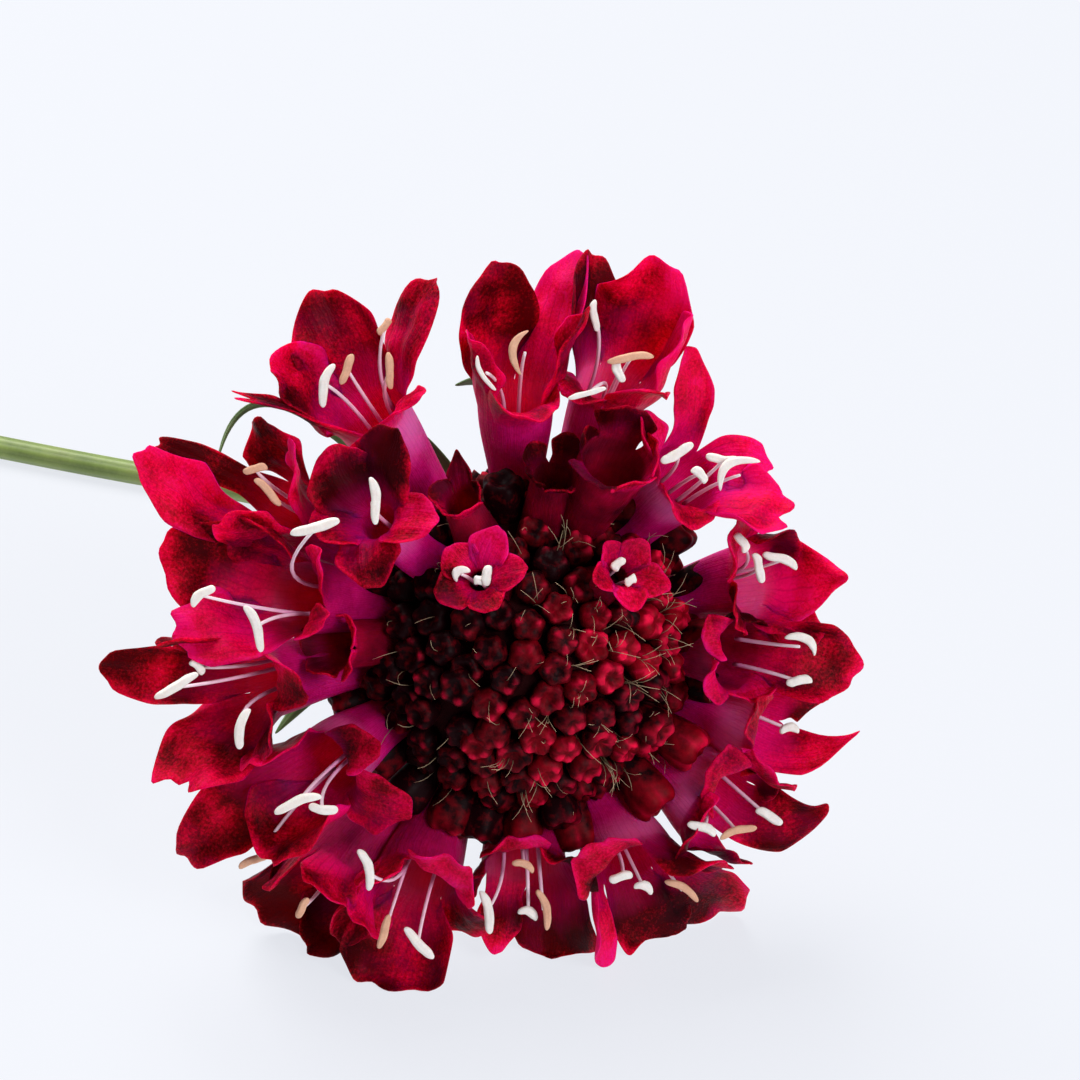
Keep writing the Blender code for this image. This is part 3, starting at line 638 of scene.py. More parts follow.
    @classmethod
    def strand(
        cls, rod: bpy.types.Object, curve: tuple[Vector, Vector, Vector], lead: Vector,
        girths: tuple[float, float],
    ) -> bpy.types.Object:
        """A copy of a rod, bent along a curve.

        Args:
            rod: the rod of radius 1 that is copied.
            curve: the start, middle and end of a quadratic curve.
            lead: the direction that the rod's own x keeps nearest to.
            girths: the strand's radius at its start and at its end.

        Returns:
            The strand, which carries how far along each point lies.
        """
        strand = cls.copied(rod)
        rows = [vertex.co.z for vertex in strand.data.vertices]
        shares = [row / max(rows) for row in rows]
        for share, vertex in zip(shares, strand.data.vertices):
            centre, tangent = bezier(*curve, share)
            side = across(lead, tangent)
            girth = girths[0] + (girths[1] - girths[0]) * share
            vertex.co = centre + (side * vertex.co.x + tangent.cross(side) * vertex.co.y) * girth
        cls.numbers(strand, "along", shares)
        return strand

    @staticmethod
    def numbers(piece: bpy.types.Object, name: str, values: Sequence[float]) -> None:
        """Stores one number on each point of the mesh."""
        piece.data.attributes.new(name, "FLOAT", "POINT").data.foreach_set("value", values)

    @staticmethod
    def skin_map(
        piece: bpy.types.Object, name: str, places: Callable[[int, int], tuple[float, float]],
    ) -> None:
        """Gives the mesh one UV map.

        Args:
            piece: the object that gets it.
            name: the map's name.
            places: what gives the place on the map, from a face's number and a point's number.
        """
        for old in list(piece.data.uv_layers):
            piece.data.uv_layers.remove(old)
        layer = piece.data.uv_layers.new(name=name)
        for face in piece.data.polygons:
            for loop in face.loop_indices:
                layer.data[loop].uv = places(face.index, piece.data.loops[loop].vertex_index)

    @classmethod
    def rod_map(cls, piece: bpy.types.Object, cells: Sequence[Vector], rows: int) -> None:
        """Gives a rod a UV map round and along it, from what its points were before it was shaped."""
        turns = [math.atan2(cell.y, cell.x) / math.tau for cell in cells]
        cls.skin_map(piece, "skin", lambda _, k: (turns[k], cells[k].z / rows))


@dataclass
class Piece:
    """A finished piece and what it stands for."""

    body: bpy.types.Object
    material: bpy.types.Material
    slot: Slot
    node: Node

    def settle(self) -> None:
        """Dresses the piece, tells the frame about it and reports it."""
        self.body.data.materials.clear()
        self.body.data.materials.append(self.material)
        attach(self.body, BODY)
        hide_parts(self.node.value)
        LOG.info("%s: %d faces", self.body.name, len(self.body.data.polygons))


@dataclass(frozen=True)
class HeadFrame:
    """Where the head is and how it leans back."""

    centre: Vector = field(default_factory=lambda: Vector((50.8, -30.4, 23.6)) * MM)
    turn: float = math.radians(8.0)
    lift: float = math.radians(25.0)

    @property
    def axis(self) -> Vector:
        """The way the head faces."""
        level = math.cos(self.lift)
        return Vector((math.sin(self.turn) * level, -math.cos(self.turn) * level, math.sin(self.lift)))

    @property
    def up(self) -> Vector:
        """The way from the head's centre to its top edge."""
        return across(Vector((0.0, 0.0, 1.0)), self.axis)

    @property
    def right(self) -> Vector:
        """The way from the head's centre to its right edge, as seen from the front."""
        return self.up.cross(self.axis)

    def direction(self, azimuth: float, polar: float) -> Vector:
        """The unit direction at an azimuth and polar angle in degrees."""
        turn, lean = math.radians(azimuth), math.radians(polar)
        side = self.right * math.cos(turn) + self.up * math.sin(turn)
        return side * math.sin(lean) + self.axis * math.cos(lean)

    def place(self, azimuth: float, polar: float, reach: float) -> Vector:
        """The point that far, in millimetres, from the head's centre."""
        return self.centre + self.direction(azimuth, polar) * (reach * MM)

    def matrix(self) -> Matrix:
        """The matrix that takes right, up and axis to the scene."""
        columns = Matrix((self.right, self.up, self.axis)).transposed().to_4x4()
        return Matrix.Translation(self.centre) @ columns


HEAD = HeadFrame()


@dataclass(frozen=True)
class Lobe:
    """One lobe of a corolla: where its tip is, its width in millimetres, its tone, which is partly painted
    shade and light, and its form.
    """

    azimuth: float
    polar: float
    reach: float
    width: float
    tone: float = 0.5
    notch: float = 0.0
    curl: float = 0.12
    point: float = 0.0
    frill: float = 1.0


@dataclass(frozen=True)
class Anther:
    """An anther: where its middle is, its roll about the head's axis, its length and its form."""

    azimuth: float
    polar: float
    reach: float
    roll: float
    length: float
    spent: bool = False
    bow: float = 0.05
    girth: float = 1.0


@dataclass(frozen=True)
class Floret:
    """An open floret: where its mouth is, the polar angle that it faces, its parts and its form."""

    azimuth: float
    polar: float
    reach: float
    face: float
    lobes: tuple[Lobe, ...]
    anthers: tuple[Anther, ...] = ()
    mouth: float = 2.2
    young: bool = False
    # How purple the tube is, down to dark crimson at 0; lowered on florets in shade, so partly painted
    # shade
    purple: float = 1.0
    swing: float = 0.0


# The open florets, anticlockwise from the right
FLORETS = (
    Floret(13, 78, 19.0, 52, (
        Lobe(9, 78, 27.5, 7.5, 0.66, curl=0.2, point=0.7), Lobe(17, 80, 24.5, 5.5, 0.52),
        Lobe(31, 61, 21.5, 6.0, 0.76), Lobe(6, 58, 19.0, 4.0), Lobe(359, 72, 24.8, 5.0),
    ), (
        Anther(27, 62, 21.5, -75, 1.8), Anther(19, 64, 21.5, -72, 2.6), Anther(18, 68, 23.0, -31, 3.2),
    ), purple=0.9),
    Floret(47, 68, 20.5, 42, (
        Lobe(60, 78, 28.8, 3.0, 0.65, curl=0.3), Lobe(65, 66, 24.0, 3.5, 0.8, curl=0.3),
        Lobe(38, 54, 21.0, 5.5, 0.6), Lobe(26, 66, 26.0, 6.0, 0.9, notch=0.1, curl=0.05, frill=3.0),
        Lobe(33, 73, 25.6, 4.4, 0.8, notch=0.1, curl=0.05, frill=3.0),
    ), (
        Anther(55, 58, 24.0, 24, 3.0), Anther(46, 60, 25.5, -14, 3.0),
        Anther(42, 58, 26.0, 34, 4.0, bow=0.3), Anther(50, 52, 25.4, -35, 1.6),
    ), purple=0.9),
    Floret(69, 82, 22.5, 55, (
        Lobe(70, 78, 34.5, 7.5, 0.55), Lobe(77, 88, 33.0, 5.0, 0.02), Lobe(81, 66, 24.0, 4.0),
        Lobe(63, 62, 27.5, 5.0, 0.6, curl=0.2, point=0.7), Lobe(63, 73, 32.0, 4.5, 0.95, curl=0.3),
    ), (
        Anther(71, 65, 28.5, 0, 3.8, spent=True), Anther(78, 60, 26.0, 11, 3.2, girth=0.6),
        Anther(72, 66, 27.0, 95, 2.0), Anther(77, 74, 29.5, 88, 2.6, girth=0.8),
    )),
    Floret(90, 80, 20.8, 58, (
        Lobe(90, 82, 32.5, 6.5, 0.18), Lobe(98, 70, 29.0, 5.0, 0.6, curl=0.3),
        Lobe(86, 58, 24.0, 5.0, 0.45, curl=0.2), Lobe(80, 67, 31.5, 5.5, curl=0.25),
        Lobe(79, 88, 33.0, 4.5, 0.85),
    ), (
        Anther(90, 64, 28.5, 75, 3.6, spent=True, bow=0.3),
        Anther(97, 66, 26.5, 113, 3.2, bow=0.12, girth=0.55),
    )),
    Floret(120, 80, 24.0, 58, (
        Lobe(117, 86, 34.5, 6.5, 0.15), Lobe(129, 77, 33.0, 7.0, notch=0.06, curl=0.1, frill=1.6),
        Lobe(135, 73, 36.3, 2.6, 0.4, notch=0.25, curl=0.2), Lobe(109, 62, 27.5, 2.8, 0.6),
        Lobe(101, 80, 32.5, 5.2, 0.42),
    ), (
        Anther(123, 68, 31.0, 70, 3.6), Anther(119, 70, 30.5, 62, 2.6, spent=True),
        Anther(113, 70, 28.5, 92, 3.0, spent=True), Anther(110.6, 78, 30.3, 60, 1.6, spent=True),
    )),
    Floret(134, 60, 20.5, 48, (
        Lobe(129, 68, 26.5, 5.5, 0.25), Lobe(144, 62, 25.0, 4.0, 0.6), Lobe(148, 47, 21.0, 4.5, 0.45),
        Lobe(121, 45, 21.5, 4.2), Lobe(118, 62, 26.5, 5.5, 0.15),
    ), (
        Anther(130, 50, 26.5, -85, 3.8),
    ), mouth=1.2, purple=0.9),
    Floret(146, 82, 23.0, 58, (
        Lobe(148, 80, 37.0, 4.9, 0.6, curl=0.08, frill=1.4), Lobe(147, 89, 35.8, 2.2, 0.05, notch=0.1),
        Lobe(151, 70, 30.5, 4.4), Lobe(133, 67, 29.6, 3.2, 0.6), Lobe(135, 82, 30.0, 5.6, 0.3),
    ), (
        Anther(141, 71, 29.5, 0, 2.0, spent=True), Anther(143, 69, 28.0, -47, 3.0, spent=True),
    ), purple=0.5),
    Floret(161, 72, 20.8, 50, (
        Lobe(158, 81, 32.0, 7.5, 0.45), Lobe(170, 76, 31.0, 5.8, 0.7, notch=0.06, curl=0.1, frill=2.2),
        Lobe(160, 54, 22.5, 3.0, 0.6), Lobe(146, 56, 25.0, 3.0, 0.7), Lobe(149, 71, 29.0, 5.5, 0.35),
    ), (
        Anther(162, 63, 31.5, 40, 2.4), Anther(166, 59, 27.5, -73, 4.0), Anther(142, 52, 28.5, 11, 4.0),
    ), purple=0.5),
    Floret(182, 80, 22.0, 56, (
        Lobe(178, 86, 35.5, 5.0, 0.22),
        Lobe(196, 76, 33.0, 7.4, 0.33, notch=0.16, curl=0.05, frill=2.4),
        Lobe(192, 61, 26.0, 4.0, 0.34), Lobe(181, 55, 23.0, 4.0, 0.4), Lobe(172, 74, 32.0, 4.5, 0.25),
    ), (
        Anther(178, 68, 31.5, 24, 4.0), Anther(185, 59, 28.5, 70, 3.4), Anther(176, 72, 28.9, -35, 1.5),
    ), purple=0.65),
    Floret(204, 75, 19.5, 50, (
        Lobe(208, 88, 34.0, 5.5, 0.35), Lobe(213, 70, 28.5, 8.0, curl=0.15, frill=2.2),
        Lobe(225, 57, 18.5, 5.0, 0.4), Lobe(203, 55, 17.5, 3.5, 0.4), Lobe(194, 66, 27.0, 5.0, 0.6),
    ), (
        Anther(203, 57, 26.5, 13, 4.0), Anther(207, 56, 25.0, -14, 2.4),
        Anther(212.5, 78, 29.0, 22, 2.9, spent=True),
    ), purple=0.65),
    Floret(227, 88, 24.5, 72, (
        Lobe(223, 97, 33.0, 8.0, 0.12), Lobe(231, 91, 32.0, 6.0, 0.12),
        Lobe(232, 74, 27.0, 5.0, 0.7, curl=0.1, frill=2.4),
        Lobe(225, 72, 27.0, 5.0, 0.6, curl=0.1, frill=2.4), Lobe(219, 86, 30.0, 4.0, 0.3),
    ), (
        Anther(223, 74, 29.0, 50, 1.9, spent=True),
    ), mouth=2.5, purple=0.3),
    Floret(240, 80, 21.5, 52, (
        Lobe(244, 85.5, 32.8, 8.3, 0.23), Lobe(257, 82, 25.0, 4.5, 0.25),
        Lobe(242, 60, 20.0, 6.0, 0.58, curl=0.15, frill=2.4), Lobe(228, 68, 24.5, 4.0, 0.4),
        Lobe(234, 84, 29.5, 5.0, 0.3),
    ), (
        Anther(225, 62, 24.5, -80, 3.6), Anther(243, 68, 27.0, -52, 3.6),
        Anther(237, 71, 27.0, 68, 3.0, spent=True),
    ), mouth=2.5, purple=0.3),
    Floret(265, 80, 18.5, 50, (
        Lobe(271, 88, 28.2, 7.0, 0.2), Lobe(277, 64, 19.0, 5.5, 0.2), Lobe(258, 64, 17.0, 5.5, 0.65),
        Lobe(249, 76, 21.5, 3.5, 0.1), Lobe(260, 84, 26.5, 3.2, 0.45),
    ), (
        Anther(263, 66, 19.0, -30, 2.0, spent=True), Anther(268, 69, 22.5, -80, 3.6, spent=True),
        Anther(255, 68, 23.0, -79, 3.8), Anther(265, 72, 22.7, -30, 1.8),
    ), mouth=2.5, purple=0.35),
    Floret(291.5, 79, 20.3, 50, (
        Lobe(293, 90, 29.5, 6.2, 0.12, frill=1.4), Lobe(301, 93, 30.5, 6.8, 0.35, curl=0.1, frill=1.2),
        Lobe(309, 71, 25.5, 5.5, 0.45), Lobe(280, 58, 18.5, 6.0, 0.7, curl=0.1, frill=2.4),
        Lobe(280, 83, 28.4, 3.6, 0.9, curl=0.3, frill=0.2),
    ), (
        Anther(287, 64, 21.5, 0, 2.0), Anther(291, 65, 23.0, -30, 1.7),
        Anther(298, 71, 24.5, -36, 3.4, spent=True),
    ), mouth=2.7, purple=0.5, swing=-6.0),
    Floret(316, 80, 20.8, 55, (
        Lobe(327, 84, 29.5, 5.4, 0.12, point=0.35, frill=0.3), Lobe(327, 78, 24.0, 5.0, 0.08),
        Lobe(320, 64, 19.0, 5.5, 0.4), Lobe(307, 62, 21.5, 6.5), Lobe(311, 72, 25.5, 5.0, 0.3),
    ), (
        Anther(321, 72, 25.0, -28, 2.6), Anther(310, 63, 21.8, -31, 2.6),
        Anther(315, 66, 24.0, 15, 3.2, spent=True),
    ), mouth=3.0, purple=0.9, swing=-10.0),
    Floret(338, 80, 21.0, 58, (
        Lobe(341, 86, 29.5, 4.0, curl=0.2, point=0.9, frill=0.3),
        Lobe(344, 90, 26.5, 4.0, 0.2, curl=0.2, point=0.8, frill=0.3), Lobe(348, 74, 24.5, 4.0, 0.3),
        Lobe(346, 64, 20.5, 4.5, 0.4), Lobe(329, 70, 24.5, 6.0, 0.65),
    ), (
        Anther(339, 73, 23.2, -5, 1.7),
    ), mouth=3.0),
    Floret(356, 66, 18.0, 42, (
        Lobe(352, 78, 28.0, 5.8, 0.42), Lobe(5, 66, 20.0, 6.0, 0.1),
        Lobe(3, 54, 16.5, 3.6, 0.8, curl=0.3), Lobe(346, 54, 16.8, 3.6, 0.75, curl=0.3),
        Lobe(344, 65, 20.0, 4.4, 0.6, curl=0.3),
    ), (
        Anther(359, 65, 23.5, -38, 3.0, bow=0.3), Anther(351, 66, 23.5, -6, 2.2),
    ), purple=0.15),
)

# The florets that are opening, nearer the middle
YOUNG_FLORETS = (
    Floret(67, 58, 20.5, 50, (
        Lobe(75, 62, 22.5, 5.2, 0.1), Lobe(68, 64, 24.8, 5.4, 0.15), Lobe(60, 60, 23.4, 5.0, 0.65),
        Lobe(61, 51, 21.6, 4.6, 0.7), Lobe(74, 50, 20.5, 4.6, 0.25),
    ), mouth=2.8, young=True),
    Floret(171.5, 68, 17.0, 58, (
        Lobe(171, 74, 20.0, 3.2, 0.2), Lobe(163, 67, 19.5, 3.2, 0.35), Lobe(164, 57, 18.2, 3.0, 0.3),
        Lobe(177, 57, 18.2, 3.0, 0.35), Lobe(179, 67, 19.8, 3.2, 0.2),
    ), mouth=2.0, young=True),
    Floret(121, 36, 15.4, 34, (
        Lobe(124, 46.5, 17.6, 3.6, 0.6), Lobe(103, 43.5, 17.8, 3.6, 0.7), Lobe(97, 31, 17.6, 3.4),
        Lobe(123, 24, 17.4, 3.4, 0.45), Lobe(141, 38, 17.6, 3.6, 0.6),
    ), (
        Anther(126, 38, 17.2, 40, 1.5, bow=0.2), Anther(116, 33, 17.2, 80, 1.7, bow=0.2),
        Anther(121, 33, 16.9, 10, 1.2, bow=0.2),
    ), mouth=1.0, young=True),
    Floret(48, 38, 15.6, 38, (
        Lobe(62, 41, 17.4, 2.9, 0.4), Lobe(48, 48, 17.8, 2.9, 0.6), Lobe(30, 43, 17.8, 3.3, 0.6),
        Lobe(34, 29, 17.6, 3.2), Lobe(62, 29, 17.2, 2.8, 0.4),
    ), (
        Anther(52, 38, 17.0, 60, 1.3, bow=0.2), Anther(44, 36, 17.0, 0, 1.0),
    ), mouth=0.9, young=True),
    Floret(112, 59, 16.8, 54, (
        Lobe(117, 65, 18.6, 2.8, 0.15), Lobe(107, 66, 20.4, 2.4, 0.3, point=0.6),
        Lobe(105, 59, 18.4, 2.8, 0.12), Lobe(111, 52, 18.0, 2.8, 0.3), Lobe(119, 57, 18.2, 2.8, 0.15),
    ), mouth=1.45, young=True),
    Floret(82, 60, 17.4, 52, (
        Lobe(88, 66, 19.6, 3.0, 0.05), Lobe(78, 67, 20.4, 2.8, 0.1), Lobe(74, 59, 19.2, 2.8, 0.05),
        Lobe(80, 52, 18.4, 2.8, 0.3), Lobe(90, 57, 18.6, 2.8, 0.1),
    ), mouth=1.7, young=True),
)


@dataclass(frozen=True)
class SheetForm:
    """The sizes that all corollas share."""

    thickness: float = 0.18 * MM
    root: float = 9.5 * MM
    root_polar: float = 88.0
    root_drop: float = 6.0
    root_girth: float = 0.55
    waist_radius: float = 1.95 * MM
    waist_share: float = 0.2
    rib: float = 0.05
    mouth_scale: float = 1.38
    fullness: float = 1.2
    pull: float = 0.45
    tube_rows: int = 8
    lobe_rows: int = 16
    lobes: int = 5
    across: int = 10
    lean: float = math.radians(14.0)
    lobe_pull: float = 0.42
    base_share: float = 0.3
    base_width: float = 0.8
    young_base_width: float = 0.6
    young_relief: float = 0.5
    young_purple: float = 0.03
    widest: float = 0.65
    taper_start: float = 0.6
    tip_width: float = 0.9
    roundness: float = 0.32
    tip_power: float = 2.3
    notch_width: float = 0.3
    ruffle: float = 0.095
    ruffle_waves: float = 9.0
    ruffle_slant: float = 2.4
    ruffle_shift: float = 1.7
    scallop: float = 0.03
    scallop_width: float = 6.0
    roll: float = 0.16
    roll_start: float = 0.55
    crease: float = 0.16 * MM
    wrinkle: float = 0.55 * MM
    wrinkle_scale: float = 330.0
    finer: float = 2.3
    lowest: float = 0.16 * MM
    softness: float = 0.1 * MM
    mouth_mark: float = 0.42

    # Waves across a lobe. In its outline: height, count, phase. In its relief: height, count, start
    frill_waves: Waves = ((0.4, 5.0, 1.0), (0.8, 10.0, 2.0), (0.5, 17.0, 5.0))
    edge_waves: Waves = ((0.06, 6.0, 0.55), (0.022, 15.0, 0.6))


FORM = SheetForm()


class Corolla:
    """The sheet of one floret: a tube that widens to a mouth, and five lobes round the mouth."""

    def __init__(self, floret: Floret) -> None:
        """Works out the tube's middle line and the order of the lobes round the mouth."""
        self.young = floret.young
        self.purple = FORM.young_purple if floret.young else floret.purple
        self.radius = floret.mouth * MM * (1.0 if floret.young else FORM.mouth_scale)
        self.mouth = HEAD.place(floret.azimuth, floret.polar, floret.reach)
        self.facing = HEAD.direction(floret.azimuth, floret.face)
        root_polar = min(floret.polar + FORM.root_drop, FORM.root_polar)
        self.root = HEAD.centre + HEAD.direction(floret.azimuth + floret.swing, root_polar) * FORM.root
        self.bend = self.mouth - self.facing * (FORM.pull * (self.mouth - self.root).length)
        self.outer = across(HEAD.direction(floret.azimuth, 90.0), self.facing)
        self.side = self.facing.cross(self.outer)
        tips = [(self.angle_of(self.tip_of(lobe)), lobe) for lobe in floret.lobes]
        tips.sort(key=lambda pair: pair[0])
        self.lobes = [lobe for _, lobe in tips]
        steps = [angle - math.tau * k / FORM.lobes for k, (angle, _) in enumerate(tips)]
        self.first = math.atan2(sum(map(math.sin, steps)), sum(map(math.cos, steps)))

    @staticmethod
    def tip_of(lobe: Lobe) -> Vector:
        """Where a lobe's tip is."""
        return HEAD.place(lobe.azimuth, lobe.polar, lobe.reach)

    def angle_of(self, point: Vector) -> float:
        """The angle of a point round the mouth's axis, from the outer side."""
        arm = point - self.mouth
        return math.atan2(arm.dot(self.side), arm.dot(self.outer)) % math.tau

    def ray(self, angle: float) -> Vector:
        """The unit direction across the mouth at that angle."""
        return self.outer * math.cos(angle) + self.side * math.sin(angle)

    def tube_point(self, angle: float, share: float) -> Vector:
        """A point of the tube.

        Args:
            angle: its angle round the mouth's axis.
            share: how far from the root to the mouth, from 0 to 1.

        Returns:
            The place of that point in the scene.
        """
        centre, tangent = bezier(self.root, self.bend, self.mouth, share)
        outward = across(self.ray(angle), tangent)
        if share < FORM.waist_share:
            grown = share / FORM.waist_share
            radius = FORM.waist_radius * (FORM.root_girth + (1.0 - FORM.root_girth) * grown)
        else:
            widening = eased((share - FORM.waist_share) / (1.0 - FORM.waist_share))
            radius = FORM.waist_radius + (self.radius - FORM.waist_radius) * widening
        swell = math.cos(FORM.lobes * (angle - self.first)) * math.sin(math.pi * share)
        return self.resting(centre + outward * (radius * (1.0 + FORM.rib * swell)))

    def lobe_point(self, index: int, share: float, offset: float) -> Vector:
        """A point of a lobe.

        Args:
            index: which lobe, in order round the mouth.
            share: how far from the mouth to the tip.
            offset: how far across, from -1 to 1.

        Returns:
            The place of that point in the scene.
        """
        lobe = self.lobes[index]
        middle_angle = self.first + math.tau * index / FORM.lobes
        ring = self.mouth + self.ray(middle_angle + offset * math.pi / FORM.lobes) * self.radius
        start = self.mouth + self.ray(middle_angle) * self.radius
        tip = self.tip_of(lobe)
        lean = self.facing * math.cos(FORM.lean) + self.ray(middle_angle) * math.sin(FORM.lean)
        phase = FORM.ruffle_shift * index + math.radians(3.0 * lobe.azimuth)
        along = share * self.length_share(lobe, share, offset, phase)
        bend = start + lean * (FORM.lobe_pull * (tip - start).length)
        centre, tangent = bezier(start, bend, tip, along)
        lateral = across(self.facing.cross(self.ray(self.angle_of(centre))), tangent)
        inward = tangent.cross(lateral)

        # The sheet curls across, and takes its own width and curl over from the ring of the mouth
        grown = eased(along / FORM.base_share)
        half = self.half_width(lobe, along)
        arc = offset * half * grown + (1.0 - grown) * self.radius * offset * math.pi / FORM.lobes
        curl = (lobe.curl / MM) * grown + (1.0 - grown) / self.radius
        rise = (1.0 - math.cos(curl * arc)) / curl
        point = centre + lateral * (math.sin(curl * arc) / curl) + inward * rise
        relief = self.relief(lobe, point, along, offset, phase)
        point += inward * (relief * (FORM.young_relief if self.young else 1.0))
        hold = eased(share / FORM.base_share)
        return self.resting(ring * (1.0 - hold) + point * hold)

    @staticmethod
    def length_share(lobe: Lobe, share: float, offset: float, phase: float) -> float:
        """How much of its full length a lobe has.

        Args:
            lobe: the lobe.
            share: how far from the mouth to the tip, where the frill grows.
            offset: how far across, from -1 to 1.
            phase: where the waves of the frill start.

        Returns:
            That share, less at the sides of a round tip and in its notch.
        """
        power = FORM.tip_power - 0.8 * lobe.point
        length = 1.0 - (FORM.roundness + 0.3 * lobe.point) * abs(offset) ** power
        length -= lobe.notch * math.exp(-((offset / FORM.notch_width) ** 2))
        frill = FORM.scallop * lobe.frill * min(lobe.width / FORM.scallop_width, 1.0) * share ** 2
        for height, waves, shift in FORM.frill_waves:
            length += frill * height * math.sin(waves * offset + shift * phase)
        return length

    def half_width(self, lobe: Lobe, along: float) -> float:
        """Half of a lobe's width, at a share from the mouth to the tip."""
        half = 0.5 * lobe.width * MM * (1.0 if self.young else FORM.fullness)
        base = FORM.young_base_width if self.young else FORM.base_width
        half *= base + (1.0 - base) * eased(along / FORM.widest)
        tip_width = FORM.tip_width * (1.0 - 0.75 * lobe.point)
        taper_start = FORM.taper_start * (1.0 - 0.45 * lobe.point)
        taper = eased((along - taper_start) / (1.0 - taper_start))
        return half * (1.0 - (1.0 - tip_width) * taper)

    @staticmethod
    def relief(lobe: Lobe, point: Vector, along: float, offset: float, phase: float) -> float:
        """How far a lobe's sheet stands off its plain form, by edge waves, creases and wrinkles.

        Args:
            lobe: the lobe.
            point: the point of its plain form, where the wrinkles are read.
            along: how far from the mouth to the tip.
            offset: how far across, from -1 to 1.
            phase: where its waves start.

        Returns:
            The distance, inwards.
        """
        width = lobe.width * MM
        wave = math.sin(FORM.ruffle_waves * along + FORM.ruffle_slant * offset + phase)
        small = math.sin(FORM.finer * FORM.ruffle_waves * along - 3.0 * offset + 2.0 * phase)
        lift = FORM.ruffle * width * (wave + 0.35 * small) * abs(offset) ** 1.5 * along
        for height, waves, start in FORM.edge_waves:
            grown = eased((along - start) / (1.0 - start))
            lift += height * width * math.sin(waves * offset + phase) * grown
        turned = max(abs(offset) - FORM.roll_start, 0.0) / (1.0 - FORM.roll_start)
        side = math.sin(phase + 1.3) if offset > 0.0 else math.cos(2.0 * phase)
        lift += FORM.roll * width * turned ** 2 * side * eased(along / 0.5)
        crease = math.cos(math.pi * offset * 3.0 + 0.6 * math.sin(phase))
        lift -= FORM.crease * crease * eased(along / 0.4) * (1.0 - 0.5 * along)
        crumple = noise.noise(point * FORM.wrinkle_scale)
        crumple += 0.4 * noise.noise(point * (FORM.finer * FORM.wrinkle_scale))
        lift += FORM.wrinkle * crumple * eased(along / 0.5) * (0.7 + 0.3 * lobe.frill)
        return lift

    @staticmethod
    def resting(point: Vector) -> Vector:
        """The point, eased up where it would sink below the surface that the flower lies on."""
        height = (point.z - FORM.lowest) / FORM.softness
        if height > 8.0:
            return point
        height = FORM.lowest + FORM.softness * math.log1p(math.exp(height))
        return Vector((point.x, point.y, height))


class FloretMaker:
    """Makes the corollas, each a waved sheet with a thin wall that is copied from one flat sheet."""

    def __init__(self) -> None:
        """Makes the flat sheet, parted between the lobes, and notes where its points lie."""
        columns = FORM.lobes * FORM.across
        self.blank = Bench.grid("corolla", columns, FORM.tube_rows + FORM.lobe_rows)
        seams = range(FORM.across, columns, FORM.across)

        def parted(a: Vector, b: Vector) -> bool:
            """Whether an edge lies on a seam between two lobes."""
            return a.x == b.x and round(a.x) in seams and min(a.y, b.y) >= FORM.tube_rows

        Bench.split(self.blank, parted)
        mesh = self.blank.data
        self.cells = [vertex.co.copy() for vertex in mesh.vertices]
        self.owner = [0] * len(self.cells)
        self.face_lobe = []
        for face in mesh.polygons:
            column = sum(self.cells[k].x for k in face.vertices) / len(face.vertices)
            self.face_lobe.append(int(column / FORM.across))
            for k in face.vertices:
                self.owner[k] = self.face_lobe[-1]

    def own_place(self, face: int, point: int) -> tuple[float, float]:
        """The share across the lobe and the share along the floret, for the petals' map."""
        row = self.cells[point].y
        side = self.cells[point].x / FORM.across - self.face_lobe[face]
        if row <= FORM.tube_rows:
            return side, FORM.mouth_mark * row / FORM.tube_rows
        share = (row - FORM.tube_rows) / FORM.lobe_rows
        return side, FORM.mouth_mark + (1.0 - FORM.mouth_mark) * share

    def corolla(self, name: str, floret: Floret) -> bpy.types.Object:
        """One corolla, rolled into a tube with five lobes.

        Args:
            name: the piece's name.
            floret: where it stands and how its lobes lie.

        Returns:
            The corolla, with its map and its numbers for tone with painted shade and light, for how purple
            the tube is, and for the inside.
        """
        form = Corolla(floret)
        sheet = Bench.copied(self.blank)
        sheet.name = sheet.data.name = name
        for cell, lobe, vertex in zip(self.cells, self.owner, sheet.data.vertices):
            column = cell.x / FORM.across
            if cell.y <= FORM.tube_rows:
                angle = form.first + (column - 0.5) * math.tau / FORM.lobes
                vertex.co = form.tube_point(angle, cell.y / FORM.tube_rows)
            else:
                share = (cell.y - FORM.tube_rows) / FORM.lobe_rows
                vertex.co = form.lobe_point(lobe, share, 2.0 * (column - lobe) - 1.0)
        Bench.skin_map(sheet, "petal", self.own_place)
        # Each lobe's tone, partly painted shade and light, goes to the points of that lobe
        Bench.numbers(sheet, "tone", [form.lobes[lobe].tone for lobe in self.owner])
        Bench.numbers(sheet, "ripe", [form.purple] * len(self.owner))
        Bench.closed(sheet)
        Bench.walled(sheet, FORM.thickness)

        # The wall's second half of points is its inner side
        count = len(sheet.data.vertices)
        Bench.numbers(sheet, "inside", [float(k >= count // 2) for k in range(count)])
        Bench.rounded(sheet, 1)
        return sheet

    def build(self) -> Iterator[Piece]:
        """The corollas of all open florets, then of those that are opening."""
        skin = PetalFinish().build()
        for name, florets in (("floret_{:02d}", FLORETS), ("young_floret_{}", YOUNG_FLORETS)):
            for number, floret in enumerate(florets, 1):
                sheet = self.corolla(name.format(number), floret)
                yield Piece(sheet, skin, Slot.PETALS, Node.HEAD)
        bpy.data.objects.remove(self.blank)


@dataclass(frozen=True)
class StamenForm:
    """The sizes of filaments and anthers."""

    filament_root: float = 0.184 * MM
    filament_tip: float = 0.128 * MM
    sides: int = 6
    rows: int = 10
    pull: float = 0.55
    depth: float = 1.2 * MM
    spread: float = 0.6
    anther: float = 0.4 * MM
    anther_sides: int = 12
    spent_girth: float = 0.85
    flatness: float = 0.85
    groove: float = 0.34
    groove_width: float = 0.26
    knob: float = 0.34
    knob_waves: float = 3.5
    knob_shift: float = 4000.0
    sway: float = 0.35
    sway_waves: float = 2.6


